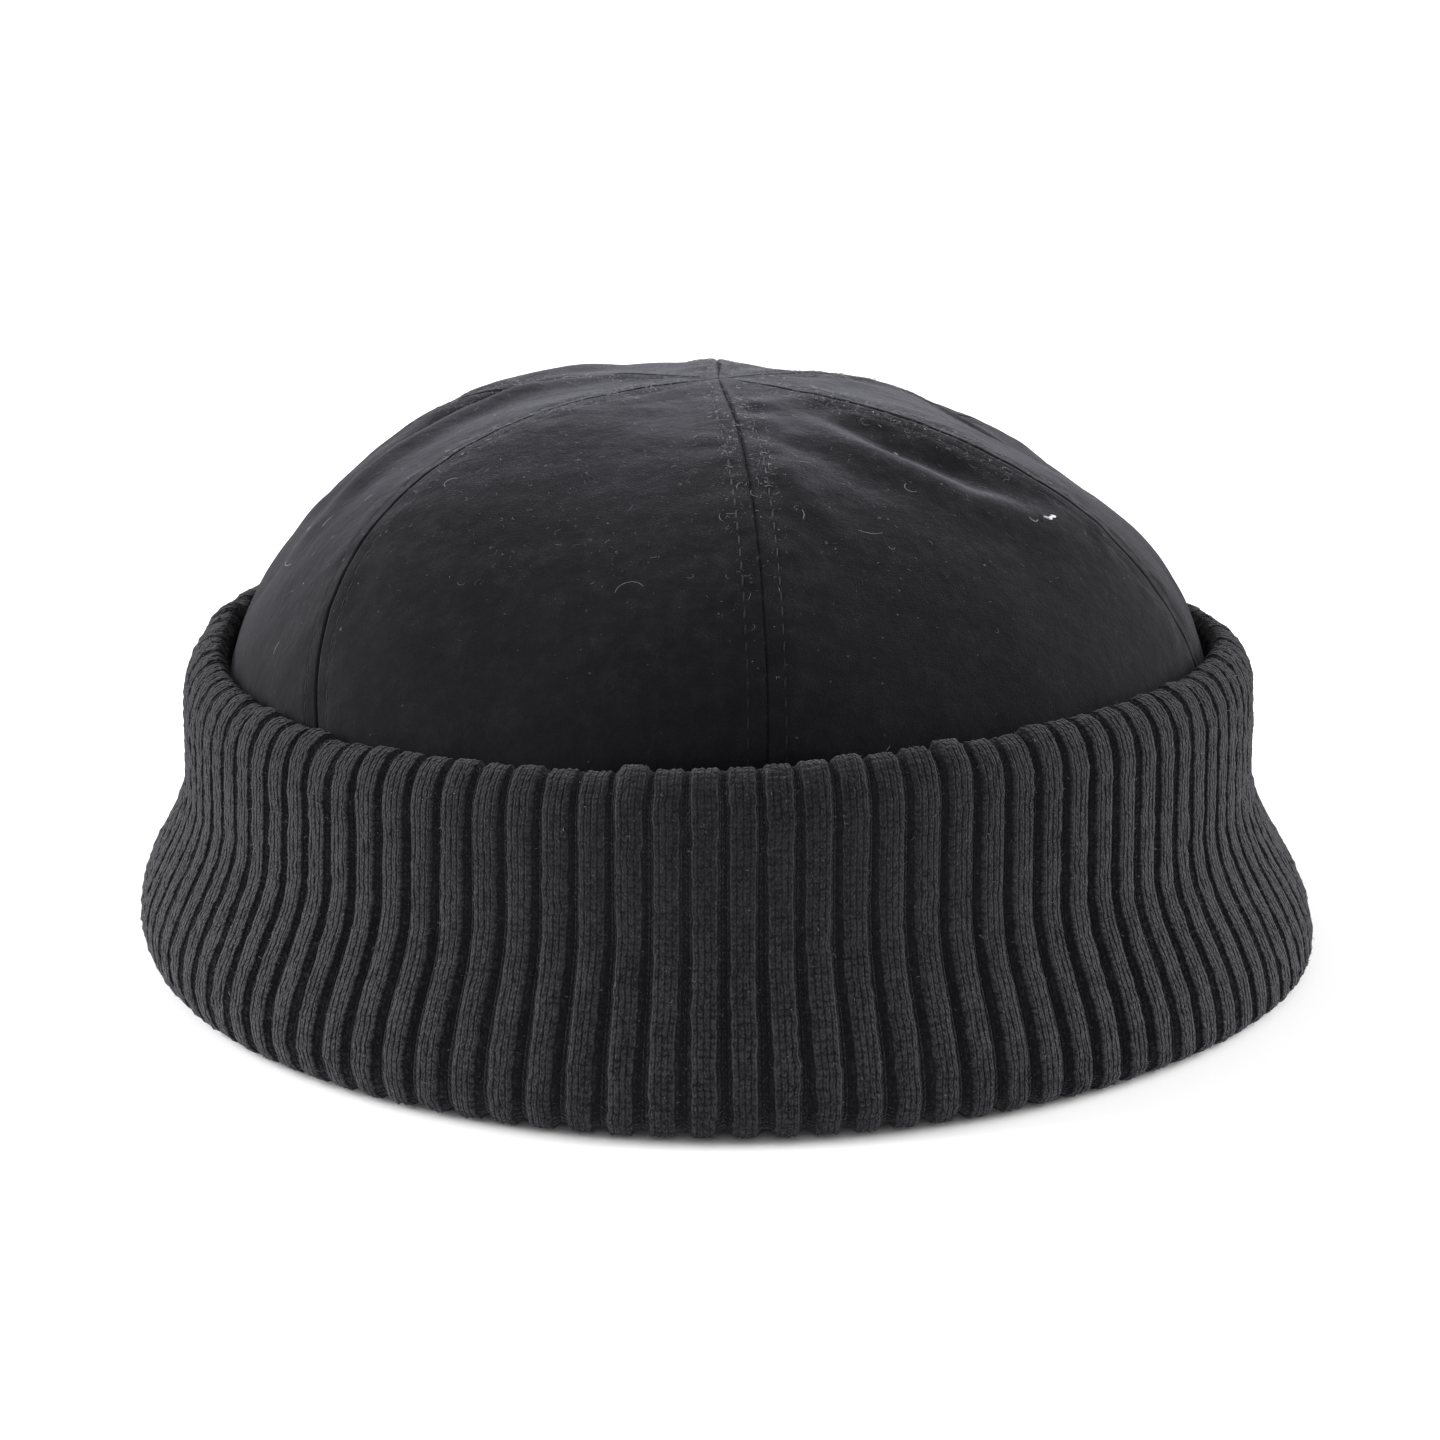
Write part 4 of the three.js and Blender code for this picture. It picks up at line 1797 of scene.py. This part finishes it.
    def lay_courses(
        self, mesh: bpy.types.Mesh, points: Array, wale: Array, name: str
    ) -> None:
        """Writes wale and course numbers as the mesh's UV map.

        Args:
            mesh: The cuff's mesh, with its faces in row order.
            points: Points by row and column.
            wale: Wale number of each column.
            name: Name of the UV map.
        """
        step = np.linalg.norm(np.roll(points, -1, axis=0) - points, axis=2).mean(axis=1)
        course = np.concatenate([[0.0], np.cumsum(step)]) / self.course
        course *= round(course[-1]) / course[-1]
        column = np.append(wale, self.ribs * self.wales)
        low_u, low_v = np.meshgrid(column[:-1], course[:-1])
        high_u, high_v = np.meshgrid(column[1:], course[1:])
        corners = np.stack(
            [
                np.stack([low_u, low_v], axis=-1),
                np.stack([high_u, low_v], axis=-1),
                np.stack([high_u, high_v], axis=-1),
                np.stack([low_u, high_v], axis=-1),
            ],
            axis=2,
        )
        layer = mesh.uv_layers.new(name=name)
        layer.data.foreach_set("uv", corners.astype(np.float32).ravel())


@dataclass(frozen=True)
class SoftLight:
    """Soft light from one side: where it comes from, its strength and its spread in degrees."""

    name: str
    source: tuple[float, float, float]
    strength: float
    spread: float


@dataclass(frozen=True)
class Studio:
    """Pale floor, soft light and the camera at the photograph's angle.

    Lengths are in metres, apart from lens and sensor, which are in millimetres. The light
    fades from the horizon's to the sky's between two heights of a direction of length 1.
    """

    floor_size: float = 8.0
    sky_strength: float = 0.46
    horizon_strength: float = 1.55
    horizon_top: float = 0.15
    sky_start: float = 0.45
    aim: tuple[float, float, float] = (-0.0013, 0.0, 0.03657)
    distance: float = 0.86
    elevation: float = 14.2
    lens: float = 129.0
    sensor: float = 36.0
    clip_share: float = 0.01
    lights: tuple[SoftLight, ...] = (
        SoftLight("left_light", (-1.0, 0.27, 0.38), 7.6, 50.0),
        SoftLight("right_light", (1.0, 0.38, 0.4), 5.9, 50.0),
        SoftLight("back_light", (0.0, 0.6, 1.0), 0.2, 70.0),
    )

    def build(self) -> None:
        """Makes the floor, the light and the camera."""
        self.make_floor()
        self.make_light()
        self.make_camera()
        log.info("studio: floor, %d lights and camera", len(self.lights))

    def make_floor(self) -> None:
        """Lays a large plain floor under the cap."""
        half = self.floor_size / 2 / METRES
        side, ahead = np.meshgrid([-half, half], [-half, half])
        corners = np.stack([side, ahead, np.zeros_like(side)], axis=-1)
        maker = MeshMaker()
        maker.add_grid(maker.add_points(corners))
        floor = maker.make("floor", np.zeros(3), StudioPaper().material())

    def make_light(self) -> None:
        """Lights the room evenly and adds the soft lights."""
        world = bpy.data.worlds.new("pale_room")
        world.use_nodes = True
        nodes, links = world.node_tree.nodes, world.node_tree.links
        background = nodes["Background"]
        background.inputs["Color"].default_value = (1.0, 1.0, 1.0, 1.0)
        direction = nodes.new("ShaderNodeTexCoord")
        parts = nodes.new("ShaderNodeSeparateXYZ")
        fade = nodes.new("ShaderNodeMapRange")
        fade.interpolation_type = "SMOOTHSTEP"
        fade.inputs["From Min"].default_value = self.horizon_top
        fade.inputs["From Max"].default_value = self.sky_start
        fade.inputs["To Min"].default_value = self.horizon_strength
        fade.inputs["To Max"].default_value = self.sky_strength
        links.new(direction.outputs["Generated"], parts.inputs["Vector"])
        links.new(parts.outputs["Z"], fade.inputs["Value"])
        links.new(fade.outputs["Result"], background.inputs["Strength"])
        bpy.context.scene.world = world
        for light in self.lights:
            lamp = bpy.data.lights.new(light.name, "SUN")
            lamp.energy = light.strength
            lamp.angle = math.radians(light.spread)
            stand = bpy.data.objects.new(light.name, lamp)
            stand.location = light.source
            stand.rotation_euler = Vector(light.source).to_track_quat("Z", "Y").to_euler()
            bpy.context.scene.collection.objects.link(stand)

    def make_camera(self) -> None:
        """Puts the camera where the photograph was taken from."""
        lens = bpy.data.cameras.new("camera")
        lens.lens = self.lens
        lens.sensor_width = self.sensor
        lens.clip_start = self.distance * self.clip_share
        camera = bpy.data.objects.new("camera", lens)
        tilt = math.radians(self.elevation)
        back = Vector((0.0, -math.cos(tilt), math.sin(tilt)))
        camera.location = Vector(self.aim) + back * self.distance
        camera.rotation_euler = (-back).to_track_quat("-Z", "Y").to_euler()
        bpy.context.scene.collection.objects.link(camera)
        bpy.context.scene.camera = camera


def dress(piece: bpy.types.Object, node: str) -> None:
    """Hands a finished piece to the frame.

    Args:
        piece: The piece, already in place.
        node: The CAD node that it stands for.
    """
    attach(piece, BODY)
    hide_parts(node)
    log.info("%s: %d faces", piece.name, len(piece.data.polygons))


def main() -> None:
    """Builds the cap, then the studio round it."""
    logging.basicConfig(level=logging.INFO, format="%(message)s")
    head = HeadForm()
    cuff = Cuff(head)
    shift = cuff.build(RibKnit(), "rib_cuff")
    crown = Crown(head, shift)
    seams = crown.build(WoolCloth())
    Topstitching(shift, crown.stitch_pitch).build(seams, SewingThread())
    cloth = LooseFibres("crown_fibres", Surface.joined(crown.faces), shift)
    cloth.build(CROWN_FIBRES, LooseFibre(), CROWN_HAIRS, crown)
    LooseFibres("seam_fibres", Surface.joined(crown.seam_faces), shift).build(
        SEAM_FIBRES, LooseFibre()
    )
    LooseFibres("cuff_fibres", cuff.outside, shift).build(CUFF_FIBRES, LooseFibre())
    Studio().build()
    bpy.context.scene.view_settings.view_transform = "Standard"


if __name__ == "__main__":
    main()
